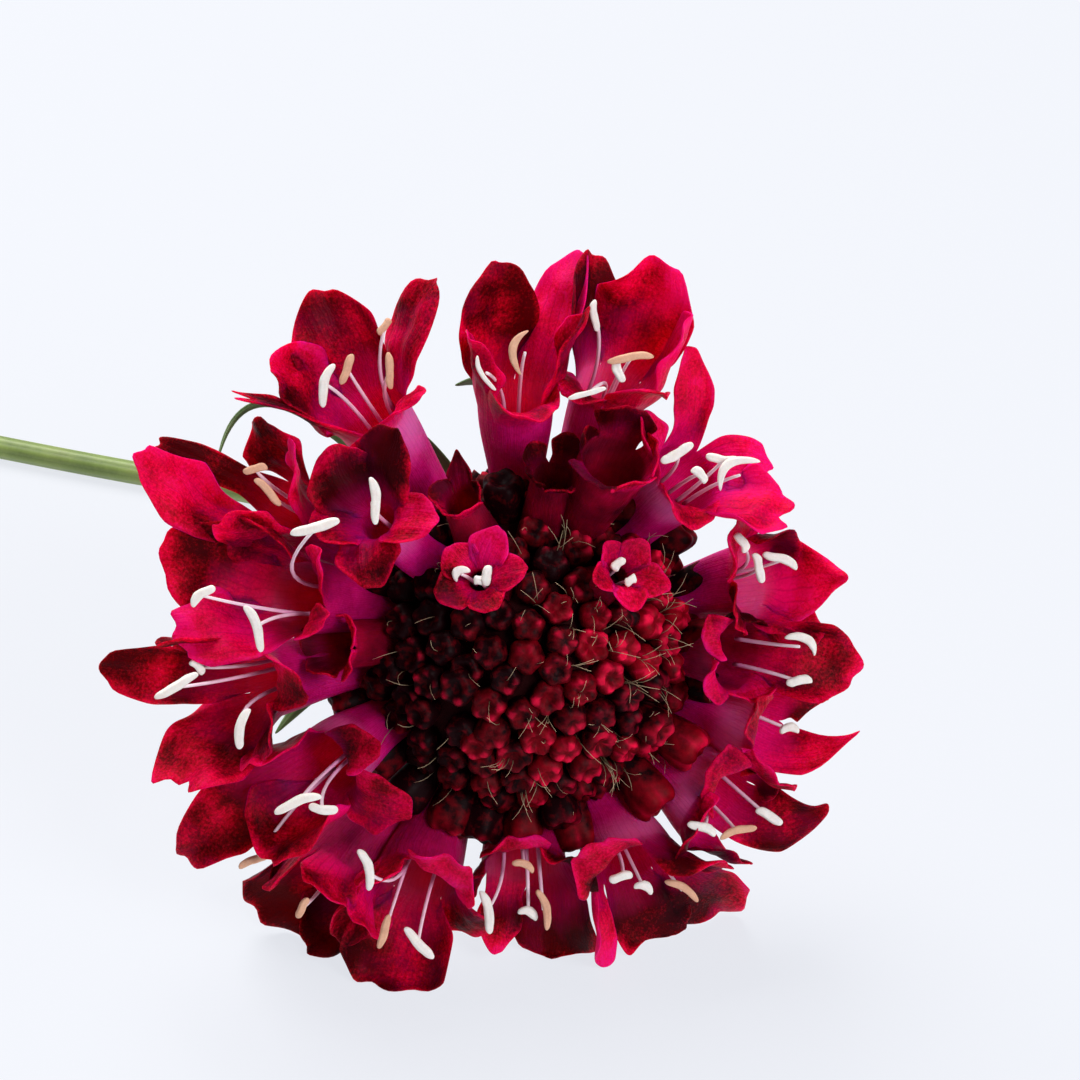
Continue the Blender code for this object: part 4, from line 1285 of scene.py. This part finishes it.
class StamenMaker:
    """Makes the filaments and anthers of all florets."""

    def __init__(self, florets: Sequence[Floret]) -> None:
        """Notes each anther with the corolla that it grows in."""
        self.form = StamenForm()
        self.stamens = [(Corolla(floret), anther) for floret in florets for anther in floret.anthers]

    def filament(self, rod: bpy.types.Object, shape: Corolla, anther: Anther) -> bpy.types.Object:
        """One filament.

        Args:
            rod: the rod that it is copied from.
            shape: the corolla that it grows in.
            anther: the anther that it carries.

        Returns:
            The filament, from inside the throat to the anther's middle.
        """
        end = HEAD.place(anther.azimuth, anther.polar, anther.reach)
        start = shape.mouth + shape.ray(shape.angle_of(end)) * (self.form.spread * shape.radius)
        start -= shape.facing * self.form.depth
        bend = start + shape.facing * (self.form.pull * (end - start).length)
        girths = (self.form.filament_root, self.form.filament_tip)
        return Bench.strand(rod, (start, bend, end), HEAD.up, girths)

    def bar(self) -> bpy.types.Object:
        """The bar that every anther is copied from: round ends, a groove, from -1 to 1 along z."""
        bar = Bench.ball("anther", self.form.anther_sides, self.form.anther_sides)
        for vertex in bar.data.vertices:
            x, y, z = vertex.co
            girth = math.hypot(x, y)
            if girth > 1e-6:
                wanted = (1.0 - abs(z) ** 5.0) ** 0.5
                sunk = self.form.groove * math.exp(-((x / girth) / self.form.groove_width) ** 2)
                flat = self.form.flatness * (1.0 - sunk * (y > 0.0))
                vertex.co = Vector((x / girth * wanted, y / girth * wanted * flat, z))
        return bar

    def anther(self, master: bpy.types.Object, anther: Anther) -> bpy.types.Object:
        """One anther, bowed and a little uneven.

        Args:
            master: the bar that it is copied from.
            anther: where it is and how it lies.

        Returns:
            The anther in its place.
        """
        middle = HEAD.place(anther.azimuth, anther.polar, anther.reach)
        roll = math.radians(anther.roll)
        length = 0.5 * anther.length * MM
        lengthwise = HEAD.right * math.cos(roll) + HEAD.up * math.sin(roll)
        sideways = HEAD.axis.cross(lengthwise)
        bar = Bench.copied(master)
        girth = self.form.anther * anther.girth * (self.form.spent_girth if anther.spent else 1.0)
        for vertex in bar.data.vertices:
            x, y, z = vertex.co
            spot = Vector((x, y, z * self.form.knob_waves)) + middle * self.form.knob_shift
            wide = girth * (1.0 + self.form.knob * noise.noise(spot))
            shift = anther.bow * length * (1.0 - z * z) * 2.0
            shift += self.form.sway * girth * math.sin(self.form.sway_waves * z + anther.roll)
            vertex.co = middle + lengthwise * (z * length) + sideways * (x * wide + shift)
            vertex.co += HEAD.axis * (y * wide)
        return bar

    def build(self) -> Iterator[Piece]:
        """The filaments in one piece, the fresh anthers in another and the spent ones in a third."""
        rod = Bench.rod("filament", self.form.sides, self.form.rows)
        thread = Bench.joined([self.filament(rod, *stamen) for stamen in self.stamens], "filaments")
        Bench.rounded(thread, 0)
        finish = StrandFinish("filament", (0.72, 0.16, 0.42), (0.95, 0.8, 0.86))
        yield Piece(thread, finish.build(), Slot.PETALS, Node.HEAD)
        master = self.bar()
        finishes = (
            AntherFinish("fresh_anther", (0.92, 0.88, 0.84), (0.74, 0.62, 0.56)),
            AntherFinish("spent_anther", (0.80, 0.46, 0.30), (0.50, 0.22, 0.14)),
        )
        for spent, finish in enumerate(finishes):
            bars = [self.anther(master, anther) for _, anther in self.stamens if anther.spent == spent]
            bars = Bench.joined(bars, finish.name + "s")
            Bench.rounded(bars, 1)
            yield Piece(bars, finish.build(), Slot.PETALS, Node.HEAD)
        for used in (rod, master):
            bpy.data.objects.remove(used)


@dataclass(frozen=True)
class Bud:
    """A closed bud: its place on the dome, its size beside a common one, its stalk and its form."""

    azimuth: float
    polar: float
    scale: float
    stalk: float = 0.0
    parting: float = 0.45


# Large buds about to open, most at the dome's edge: azimuth, polar angle, scale, stalk in millimetres
LARGE_BUDS = tuple(Bud(*row) for row in (
    (241, 78, 1.5, 2.6), (251, 77, 1.45, 2.4), (280, 79, 1.5, 3.3), (324, 72, 1.5, 2.8),
    (227, 81, 1.4, 2.6), (276, 67, 1.25, 1.6), (0, 67, 1.3, 2.0), (194, 86, 1.3, 2.4),
    (158, 84, 1.3, 2.2), (35, 76, 1.35, 2.4), (326, 52, 1.2, 1.4), (264, 74, 1.3, 2.2),
    (305, 75, 1.5, 3.4), (213, 80, 1.3, 2.2), (16, 80, 1.3, 2.4), (343, 78, 1.3, 2.4),
    (189, 33, 1.15, 0.3), (200, 52, 1.0, 0.2), (228, 40, 1.0, 0.2), (97, 68, 1.3, 1.8),
    (126, 68, 1.25, 1.8), (150, 74, 1.2, 1.8), (54, 72, 1.3, 2.0),
))


@dataclass(frozen=True)
class DomeForm:
    """The sizes of the dome and its bristles, and the room that each kind of neighbour needs."""

    seed: int = 11
    sides: int = 40
    rings: int = 24
    radius: float = 12.6 * MM
    front: float = 11.2 * MM
    back: float = 5.6 * MM
    back_limit: float = 4.82 * MM
    bud_count: int = 165
    bud_limit: float = 104.0
    tube_room: float = 8.5
    young_room: float = 6.0
    large_room: float = 5.5
    bristles: int = 4
    bristle_sides: int = 4
    bristle_rows: int = 5
    bristle_root: float = 0.0572 * MM
    bristle_tip: float = 0.0104 * MM
    bristle_length: tuple[float, float] = (2.6 * MM, 3.9 * MM)
    bristle_zone: float = 74.0
    bristle_edge: float = 80.0


@dataclass(frozen=True)
class BudForm:
    """The sizes of a bud of five folded lobes, and how the light from the right tints it."""

    sides: int = 20
    rings: int = 9
    radius: float = 1.5 * MM
    rise: float = 1.15 * MM
    top: float = 1.0 * MM
    foot: float = 2.2 * MM
    seam: float = 0.2
    waist: float = 0.45
    hollow: float = 0.3
    hollow_growth: float = 0.35
    pit: float = 0.35
    pit_growth: float = 1.1
    lip: float = 0.12
    lip_lift: float = 0.3
    lip_width: float = 0.2
    light_azimuth: float = -25.0
    light_lean: float = 1.6
    darkest: float = 0.02


LEAD = Vector((0.31, 0.17, 1.0))


class DomeMaker:
    """Makes the dome with its closed buds and the bristles between them."""

    def __init__(self) -> None:
        """Sets the sizes and the one seed of all draws."""
        self.form = DomeForm()
        self.bud_form = BudForm()
        self.draw = random.Random(self.form.seed)
        self.matrix = HEAD.matrix()

    def core(self) -> bpy.types.Object:
        """The core that the buds stand on, near-black as painted shade."""
        core = Bench.ball("dome", self.form.sides, self.form.rings)
        for vertex in core.data.vertices:
            x, y, z = vertex.co
            height = z * self.form.front if z > 0.0 else max(z * self.form.back, -self.form.back_limit)
            vertex.co = self.matrix @ Vector((x * self.form.radius, y * self.form.radius, height))
        Bench.closed(core)
        Bench.rounded(core, 0)
        return core

    def foot(self, azimuth: float, polar: float) -> tuple[Vector, Vector]:
        """Where something stands on the dome.

        Args:
            azimuth: its place round the head's axis, in degrees.
            polar: its angle from that axis, in degrees.

        Returns:
            The point and the outward normal of the dome there, in the head's own axes.
        """
        turn, lean = math.radians(azimuth), math.radians(polar)
        way = Vector((math.sin(lean) * math.cos(turn), math.sin(lean) * math.sin(turn), math.cos(lean)))
        sizes = (self.form.radius, self.form.radius, self.form.front)
        point = way / Vector([value / size for value, size in zip(way, sizes)]).length
        normal = Vector([value / size ** 2 for value, size in zip(point, sizes)]).normalized()
        return point, normal

    def places(self) -> Iterator[tuple[float, float]]:
        """Azimuths and polar angles of the buds, evenly over the dome, clear of all that is larger."""
        taken = [(floret.azimuth, floret.polar, self.form.young_room) for floret in YOUNG_FLORETS]
        taken += [(bud.azimuth, bud.polar, self.form.large_room * bud.scale) for bud in LARGE_BUDS]
        for floret in FLORETS:
            taken.append((floret.azimuth + floret.swing, FORM.root_polar, self.form.tube_room))
        rooms = [(HEAD.direction(azimuth, polar), room) for azimuth, polar, room in taken]
        cover = 1.0 - math.cos(math.radians(self.form.bud_limit))
        for number in range(self.form.bud_count):
            polar = math.degrees(math.acos(1.0 - cover * (number + 0.5) / self.form.bud_count))
            azimuth = math.degrees(number * GOLDEN_ANGLE) % 360.0
            here = HEAD.direction(azimuth, polar)
            if all(math.degrees(here.angle(there)) > room for there, room in rooms):
                yield azimuth, polar

    def bud(self, ball: bpy.types.Object, bud: Bud) -> bpy.types.Object:
        """One bud of five folded lobes.

        Args:
            ball: the ball that it is copied from.
            bud: where it stands and its form.

        Returns:
            The bud in its place, which carries its tone with painted light and shade, and the strength of
            its painted highlights along the lips and seams of its lobes.
        """
        form = self.bud_form
        stalk = bud.stalk * MM
        point, normal = self.foot(bud.azimuth, bud.polar)
        side = across(LEAD, normal)
        other = normal.cross(side)
        spin = self.draw.uniform(0.0, math.tau)
        # Painted light: how much the bud faces the light from the right, which scales its tone and its
        # highlights
        lean = math.sin(math.radians(min(bud.polar * form.light_lean, 90.0)))
        lit = 0.5 + 0.5 * math.cos(math.radians(bud.azimuth - form.light_azimuth)) * lean
        tone = max(self.draw.uniform(0.05, 1.0) * (0.2 + 0.8 * lit), form.darkest)
        lights = [self.draw.random() ** 2 * (0.6 + 1.0 * lit) for _ in range(FORM.lobes)]
        lifts = [self.draw.uniform(0.0, form.lip_lift) for _ in range(FORM.lobes)]
        hollow = form.hollow + form.hollow_growth * bud.parting
        depth = form.pit + form.pit_growth * bud.parting
        piece = Bench.copied(ball)
        rim_highlights, tones_and_shade = [], []
        for vertex in piece.data.vertices:
            x, y, z = vertex.co
            girth = math.hypot(x, y)
            turn = FORM.lobes * ((math.atan2(y, x) + spin) % math.tau) / math.tau
            index = int(turn) % FORM.lobes
            seam = 0.5 - 0.5 * math.cos(math.tau * turn) if girth > 1e-6 else 1.0
            upper = eased((z + 0.5) / 0.7)
            puff = 1.0 - form.seam * (1.0 - seam) ** 2 * upper
            lip = 0.0
            if z > 0.0:
                lip = math.exp(-(((girth - hollow - form.lip_width) / form.lip_width) ** 2)) * seam
                pit = depth * math.exp(-((girth / hollow) ** 2))
                height = (z + lip * (form.lip + lifts[index]) - pit) * form.top
            else:
                height = z * (form.foot + stalk)
                puff *= 1.0 - form.waist * -z * min(bud.stalk, 1.0)
            place = point + (side * x + other * y) * (puff * form.radius * bud.scale)
            place += normal * (form.rise + stalk + height * bud.scale)
            vertex.co = self.matrix @ place
            # Painted highlights along the lips and upper seams, and painted shade that darkens the lower
            # side
            edge = 0.5 * upper * (1.0 - seam) ** 4 * lit
            rim_highlights.append(min(lip * (0.1 + 1.2 * lights[index]) + edge, 1.0))
            tones_and_shade.append(tone * (0.15 + 0.85 * upper))
        Bench.numbers(piece, "rim", rim_highlights)
        Bench.numbers(piece, "tone", tones_and_shade)
        return piece

    def bristle(self, rod: bpy.types.Object, azimuth: float, polar: float) -> bpy.types.Object:
        """One straw bristle that leans out between the buds.

        Args:
            rod: the rod that it is copied from.
            azimuth: its place round the head's axis, in degrees.
            polar: its angle from that axis, in degrees.

        Returns:
            The bristle, thinning from its root to its tip.
        """
        point, normal = self.foot(azimuth, polar)
        length = self.draw.uniform(*self.form.bristle_length)
        lean = across(Vector([self.draw.uniform(-1.0, 1.0) for _ in range(3)]), normal)
        bend = point + normal * (0.7 * length) - lean * (0.12 * length)
        tip = point + normal * length + lean * (self.draw.uniform(0.15, 0.6) * length)
        curve = (self.matrix @ point, self.matrix @ bend, self.matrix @ tip)
        girths = (self.form.bristle_root, self.form.bristle_tip)
        return Bench.strand(rod, curve, self.matrix.to_3x3() @ LEAD, girths)

    def tufts(self, places: Sequence[tuple[float, float]]) -> Iterator[tuple[float, float]]:
        """Where the bristles stand: beside the buds, in tufts on the side that shows them.

        Args:
            places: the azimuths and polar angles of the buds.

        Returns:
            The azimuth and polar angle of each bristle.
        """
        for azimuth, polar in places:
            side = math.cos(math.radians(azimuth)) * math.sin(math.radians(polar))
            tuft = side > self.draw.uniform(-0.5, 0.45) and polar < self.form.bristle_zone
            count = self.form.bristles if tuft else int(polar < self.form.bristle_edge)
            turn, lean = azimuth + self.draw.uniform(-9.0, 9.0), polar + self.draw.uniform(-7.0, 7.0)
            for _ in range(count):
                yield turn + self.draw.uniform(-3.0, 3.0), lean + self.draw.uniform(-2.0, 2.0)

    def build(self) -> Iterator[Piece]:
        """The core, the buds, the large buds and the bristles."""
        yield Piece(self.core(), DomeFinish().build(), Slot.PETALS, Node.HEAD)
        ball = Bench.ball("bud", self.bud_form.sides, self.bud_form.rings)
        rod = Bench.rod("bristle", self.form.bristle_sides, self.form.bristle_rows)
        skin = BudFinish().build()
        places = list(self.places())
        small = (
            Bud(*place, self.draw.uniform(0.92, 1.08), parting=self.draw.random() ** 1.7)
            for place in places
        )
        for name, buds, levels in (("buds", small, 0), ("large_buds", LARGE_BUDS, 1)):
            piece = Bench.joined([self.bud(ball, bud) for bud in buds], name)
            Bench.rounded(piece, levels)
            yield Piece(piece, skin, Slot.PETALS, Node.HEAD)
        piece = Bench.joined([self.bristle(rod, *spot) for spot in self.tufts(places)], "bristles")
        Bench.rounded(piece, 0)
        straw = StrandFinish("bristle", (0.03, 0.02, 0.004), (0.9, 0.66, 0.4), 2.4)
        yield Piece(piece, straw.build(), Slot.BRACTS, Node.HEAD)
        for used in (ball, rod):
            bpy.data.objects.remove(used)


@dataclass(frozen=True)
class Bract:
    """A green bract: its azimuth, the polar angles of its root and tip, its size and its bend."""

    azimuth: float
    polar: float
    tip_polar: float
    length: float
    width: float
    sweep: float = 0.0
    pull: float = 0.5


BRACTS = (
    Bract(8, 112, 108, 14, 2.2), Bract(38, 112, 108, 13, 2.0), Bract(62, 112, 107, 14, 2.2),
    Bract(83.5, 112, 101, 22, 1.9, 17.5, 0.95), Bract(106, 112, 104, 21, 1.8, 9.0),
    Bract(131, 114, 106, 30, 1.0, 16.0, 1.12), Bract(158, 112, 106, 15, 2.2),
    Bract(187, 112, 98, 22.5, 2.4, 11.0), Bract(208, 114, 104, 31.5, 1.8),
    Bract(236, 112, 108, 14, 2.2), Bract(270, 112, 108, 13, 2.2), Bract(302, 112, 108, 14, 2.0),
    Bract(336, 112, 108, 15, 2.2),
)


@dataclass(frozen=True)
class CupForm:
    """The sizes of the involucre."""

    front: float = -4.9 * MM
    back: float = -9.2 * MM
    radius: float = 6.4 * MM
    back_radius: float = 2.1 * MM
    flare: float = 0.8
    swell: float = 0.5 * MM
    rib: float = 0.03
    cup_sides: int = 52
    cup_rows: int = 10
    bract_root: float = 3.6 * MM
    bract_sink: float = 1.6 * MM
    counter_sweep: float = 0.4
    taper: float = 0.75
    taper_power: float = 1.8
    tip_start: float = 0.86
    tip_taper: float = 0.8
    keel: float = 0.3
    wave: float = 0.08
    waves: float = 14.0
    thickness: float = 0.38 * MM
    rows: int = 16
    columns: int = 6


class InvolucreMaker:
    """Makes the green cup and its bracts."""

    def __init__(self) -> None:
        """Sets the sizes."""
        self.form = CupForm()

    def cup(self) -> bpy.types.Object:
        """The turned cup behind the dome, with one soft rib for each bract."""
        form = self.form
        cup = Bench.rod("involucre_cup", form.cup_sides, form.cup_rows)
        cells = [vertex.co.copy() for vertex in cup.data.vertices]
        matrix = HEAD.matrix()
        for cell, vertex in zip(cells, cup.data.vertices):
            share = cell.z / form.cup_rows
            radius = form.back_radius + (form.radius - form.back_radius) * share ** form.flare
            radius += form.swell * math.sin(math.pi * share)
            turn = math.atan2(cell.y, cell.x)
            radius *= 1.0 + form.rib * math.cos(len(BRACTS) * turn)
            depth = form.back + (form.front - form.back) * share
            vertex.co = matrix @ Vector((math.cos(turn) * radius, math.sin(turn) * radius, depth))
        Bench.rod_map(cup, cells, form.cup_rows)
        Bench.closed(cup)
        Bench.rounded(cup, 0)
        return cup

    def bract(self, blank: bpy.types.Object, bract: Bract) -> bpy.types.Object:
        """One narrow, pointed bract that leaves the cup and bends outwards.

        Args:
            blank: the flat grid that it is copied from.
            bract: where it stands and how it lies.

        Returns:
            The bract, keeled along its middle, with its map.
        """
        form = self.form
        root = HEAD.centre + HEAD.direction(bract.azimuth, 90.0) * form.bract_root
        root += HEAD.axis * (form.front - form.bract_sink)
        tip = HEAD.place(bract.azimuth + bract.sweep, bract.tip_polar, bract.length)
        way = HEAD.direction(bract.azimuth - form.counter_sweep * bract.sweep, bract.polar)
        bend = root + way * (bract.pull * bract.length * MM)
        blade = Bench.copied(blank)
        cells = [vertex.co.copy() for vertex in blade.data.vertices]
        for cell, vertex in zip(cells, blade.data.vertices):
            share = cell.y / form.rows
            offset = 2.0 * cell.x / form.columns - 1.0
            centre, tangent = bezier(root, bend, tip, share)
            lateral = across(HEAD.axis.cross(tangent), tangent)
            half = 0.5 * bract.width * MM * (1.0 - form.taper * share ** form.taper_power)
            end = max((share - form.tip_start) / (1.0 - form.tip_start), 0.0)
            half *= 1.0 - form.tip_taper * end ** 2
            sink = half * form.keel * abs(offset)
            sink += form.wave * half * math.sin(form.waves * share + bract.azimuth) * offset
            vertex.co = centre + lateral * (half * offset) - tangent.cross(lateral) * sink
        Bench.skin_map(blade, "skin", lambda _, k: (cells[k].x / form.columns, cells[k].y / form.rows))
        Bench.walled(blade, form.thickness)
        Bench.rounded(blade, 1)
        return blade

    def build(self) -> Iterator[Piece]:
        """The cup and the bracts."""
        green = GreenFinish("bract", (0.035, 0.085, 0.02), (0.13, 0.24, 0.06), (0.16, 0.1, 0.05), 3.0, 0.5)
        skin = green.build()
        yield Piece(self.cup(), skin, Slot.BRACTS, Node.INVOLUCRE)
        blank = Bench.grid("bract", self.form.columns, self.form.rows)
        blades = Bench.joined([self.bract(blank, bract) for bract in BRACTS], "bracts")
        bpy.data.objects.remove(blank)
        yield Piece(blades, skin, Slot.BRACTS, Node.INVOLUCRE)


# The stem's middle line after the neck, in millimetres from the point under the head's centre
STEM_ROUTE = (
    (-2.4, 16.5, 16.0), (-4.2, 25.0, 11.6), (-6.8, 33.5, 7.2), (-11.0, 42.0, 3.4), (-17.5, 49.0, 1.5),
    (-26.5, 54.5, 1.15), (-39.9, 58.5, 1.15), (-53.5, 63.0, 1.15), (-72.0, 69.5, 1.15),
    (-92.0, 75.0, 1.15), (-112.0, 78.5, 1.15), (-130.0, 80.5, 1.15),
)


@dataclass(frozen=True)
class StemForm:
    """The sizes of the stem."""

    radius: float = 1.15 * MM
    gap: float = 0.3 * MM
    neck: float = 3.0 * MM
    steps: int = 24
    rows: int = 150
    sides: int = 32
    ribs: int = 8
    rib_height: float = 0.045
    sharp: float = math.radians(50.0)


class StemMaker:
    """Makes the ribbed stem along its route."""

    def __init__(self) -> None:
        """Works out the route's points."""
        self.form = StemForm()
        foot = Vector((HEAD.centre.x, HEAD.centre.y, 0.0))
        start = HEAD.centre + HEAD.axis * (CupForm().back - self.form.gap)
        knots = [start, start - HEAD.axis * self.form.neck]
        knots += [foot + Vector(knot) * MM for knot in STEM_ROUTE]
        self.route = self.even(self.smooth(knots, self.form.steps), self.form.rows + 1)

    @staticmethod
    def smooth(knots: Sequence[Vector], steps: int) -> list[Vector]:
        """A smooth curve.

        Args:
            knots: the points that it goes through.
            steps: how many points it has from one knot to the next.

        Returns:
            The points of the curve.
        """
        ends = [knots[0] * 2.0 - knots[1], *knots, knots[-1] * 2.0 - knots[-2]]
        fine = []
        for k in range(len(knots) - 1):
            a, b, c, d = ends[k:k + 4]
            for step in range(steps):
                share = step / steps
                cubic = b * 2.0 + (c - a) * share
                cubic += (a * 2.0 - b * 5.0 + c * 4.0 - d) * share ** 2
                cubic += (b * 3.0 - a - c * 3.0 + d) * share ** 3
                fine.append(cubic * 0.5)
        return fine + [knots[-1].copy()]

    @staticmethod
    def even(points: Sequence[Vector], count: int) -> list[Vector]:
        """A line of points spread anew.

        Args:
            points: the points of the line.
            count: how many points are wanted.

        Returns:
            That many points at even steps along the line.
        """
        lengths = [0.0]
        for a, b in zip(points, points[1:]):
            lengths.append(lengths[-1] + (b - a).length)
        result, k = [], 0
        for number in range(count):
            wanted = lengths[-1] * number / (count - 1)
            while k < len(points) - 2 and lengths[k + 1] < wanted:
                k += 1
            share = (wanted - lengths[k]) / (lengths[k + 1] - lengths[k])
            result.append(points[k].lerp(points[k + 1], share))
        return result

    def frames(self) -> Iterator[tuple[Vector, Vector, Vector]]:
        """Each point of the route with two directions across it that don't twist."""
        side = HEAD.right
        for k, point in enumerate(self.route):
            tangent = (self.route[min(k + 1, self.form.rows)] - self.route[max(k - 1, 0)]).normalized()
            side = across(side, tangent)
            yield point, side, tangent.cross(side)

    def build(self) -> Iterator[Piece]:
        """The stem, with a plain cut end."""
        form = self.form
        rod = Bench.rod("cut_stem", form.sides, form.rows)
        cells = [vertex.co.copy() for vertex in rod.data.vertices]
        frames = list(self.frames())
        for cell, vertex in zip(cells, rod.data.vertices):
            point, right, up = frames[round(cell.z)]
            turn = math.atan2(cell.y, cell.x)
            radius = form.radius * (1.0 - form.rib_height * (0.5 + 0.5 * math.cos(form.ribs * turn)))
            vertex.co = point + (right * math.cos(turn) + up * math.sin(turn)) * radius
        Bench.rod_map(rod, cells, form.rows)
        Bench.closed(rod)
        Bench.only(rod)
        bpy.ops.object.shade_smooth_by_angle(angle=form.sharp)
        green = GreenFinish("stem_skin", (0.1, 0.16, 0.035), (0.3, 0.4, 0.1), (0.42, 0.42, 0.14), 8.0, 0.4)
        yield Piece(rod, green.build(), Slot.STEM, Node.STEM)


@dataclass(frozen=True)
class Lamp:
    """A square soft light that shines at the head: where it is, how wide, how strong, its colour."""

    name: str
    place: tuple[float, float, float]
    size: float
    power: float
    colour: Colour

    def build(self) -> None:
        """Hangs the lamp."""
        light = bpy.data.lights.new(self.name, "AREA")
        light.size = self.size
        light.energy = self.power
        light.color = self.colour
        lamp = bpy.data.objects.new(self.name, light)
        bpy.context.scene.collection.objects.link(lamp)
        lamp.location = self.place
        lamp.rotation_euler = (Vector(self.place) - HEAD.centre).to_track_quat("Z", "Y").to_euler()


@dataclass(frozen=True)
class Studio:
    """The surface, the lights and the camera."""

    elevation: float = math.radians(35.0)
    distance: float = 0.3
    lens: float = 120.0
    sensor: float = 36.0
    aim_right: float = 1.25 * MM
    aim_up: float = 8.333 * MM
    floor_size: float = 3.0
    floor_drop: float = 0.05 * MM
    sky: Colour = (0.86, 0.91, 1.0)
    sky_strength: float = 0.12
    lamps: tuple[Lamp, ...] = (
        Lamp("window", (-0.3, 0.6, 1.1), 1.0, 24.5, (1.0, 0.985, 0.97)),
        Lamp("bounce", (0.6, -0.6, 0.6), 0.4, 7.0, (0.97, 0.98, 1.0)),
    )

    def camera(self) -> None:
        """A camera that looks along +Y and down on the head."""
        view = Vector((0.0, math.cos(self.elevation), -math.sin(self.elevation)))
        up = Vector((0.0, math.sin(self.elevation), math.cos(self.elevation)))
        right = Vector((1.0, 0.0, 0.0))
        target = HEAD.centre + right * self.aim_right + up * self.aim_up
        lens = bpy.data.cameras.new("camera")
        lens.lens = self.lens
        lens.sensor_width = self.sensor
        camera = bpy.data.objects.new("camera", lens)
        bpy.context.scene.collection.objects.link(camera)
        turn = Matrix((right, up, -view)).transposed().to_4x4()
        camera.matrix_world = Matrix.Translation(target - view * self.distance) @ turn
        bpy.context.scene.camera = camera

    def daylight(self) -> None:
        """The faint light from all round."""
        world = bpy.data.worlds.new("daylight")
        bpy.context.scene.world = world
        world.use_nodes = True
        background = world.node_tree.nodes["Background"]
        background.inputs["Color"].default_value = (*self.sky, 1.0)
        background.inputs["Strength"].default_value = self.sky_strength

    def build(self) -> None:
        """The floor, the lights and the camera."""
        bpy.ops.object.select_all(action="DESELECT")
        bpy.ops.mesh.primitive_plane_add(size=self.floor_size, location=(0.0, 0.0, -self.floor_drop))
        floor = Bench.added("tabletop")
        floor.data.materials.append(FloorFinish().build())
        for lamp in self.lamps:
            lamp.build()
        self.daylight()
        self.camera()
        bpy.context.scene.view_settings.view_transform = "Standard"


def main() -> None:
    """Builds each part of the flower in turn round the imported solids."""
    logging.basicConfig(level=logging.INFO, format="%(message)s")
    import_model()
    stamens = StamenMaker(FLORETS + YOUNG_FLORETS)
    for maker in (FloretMaker(), stamens, DomeMaker(), InvolucreMaker(), StemMaker()):
        for piece in maker.build():
            piece.settle()
    Studio().build()


if __name__ == "__main__":
    main()
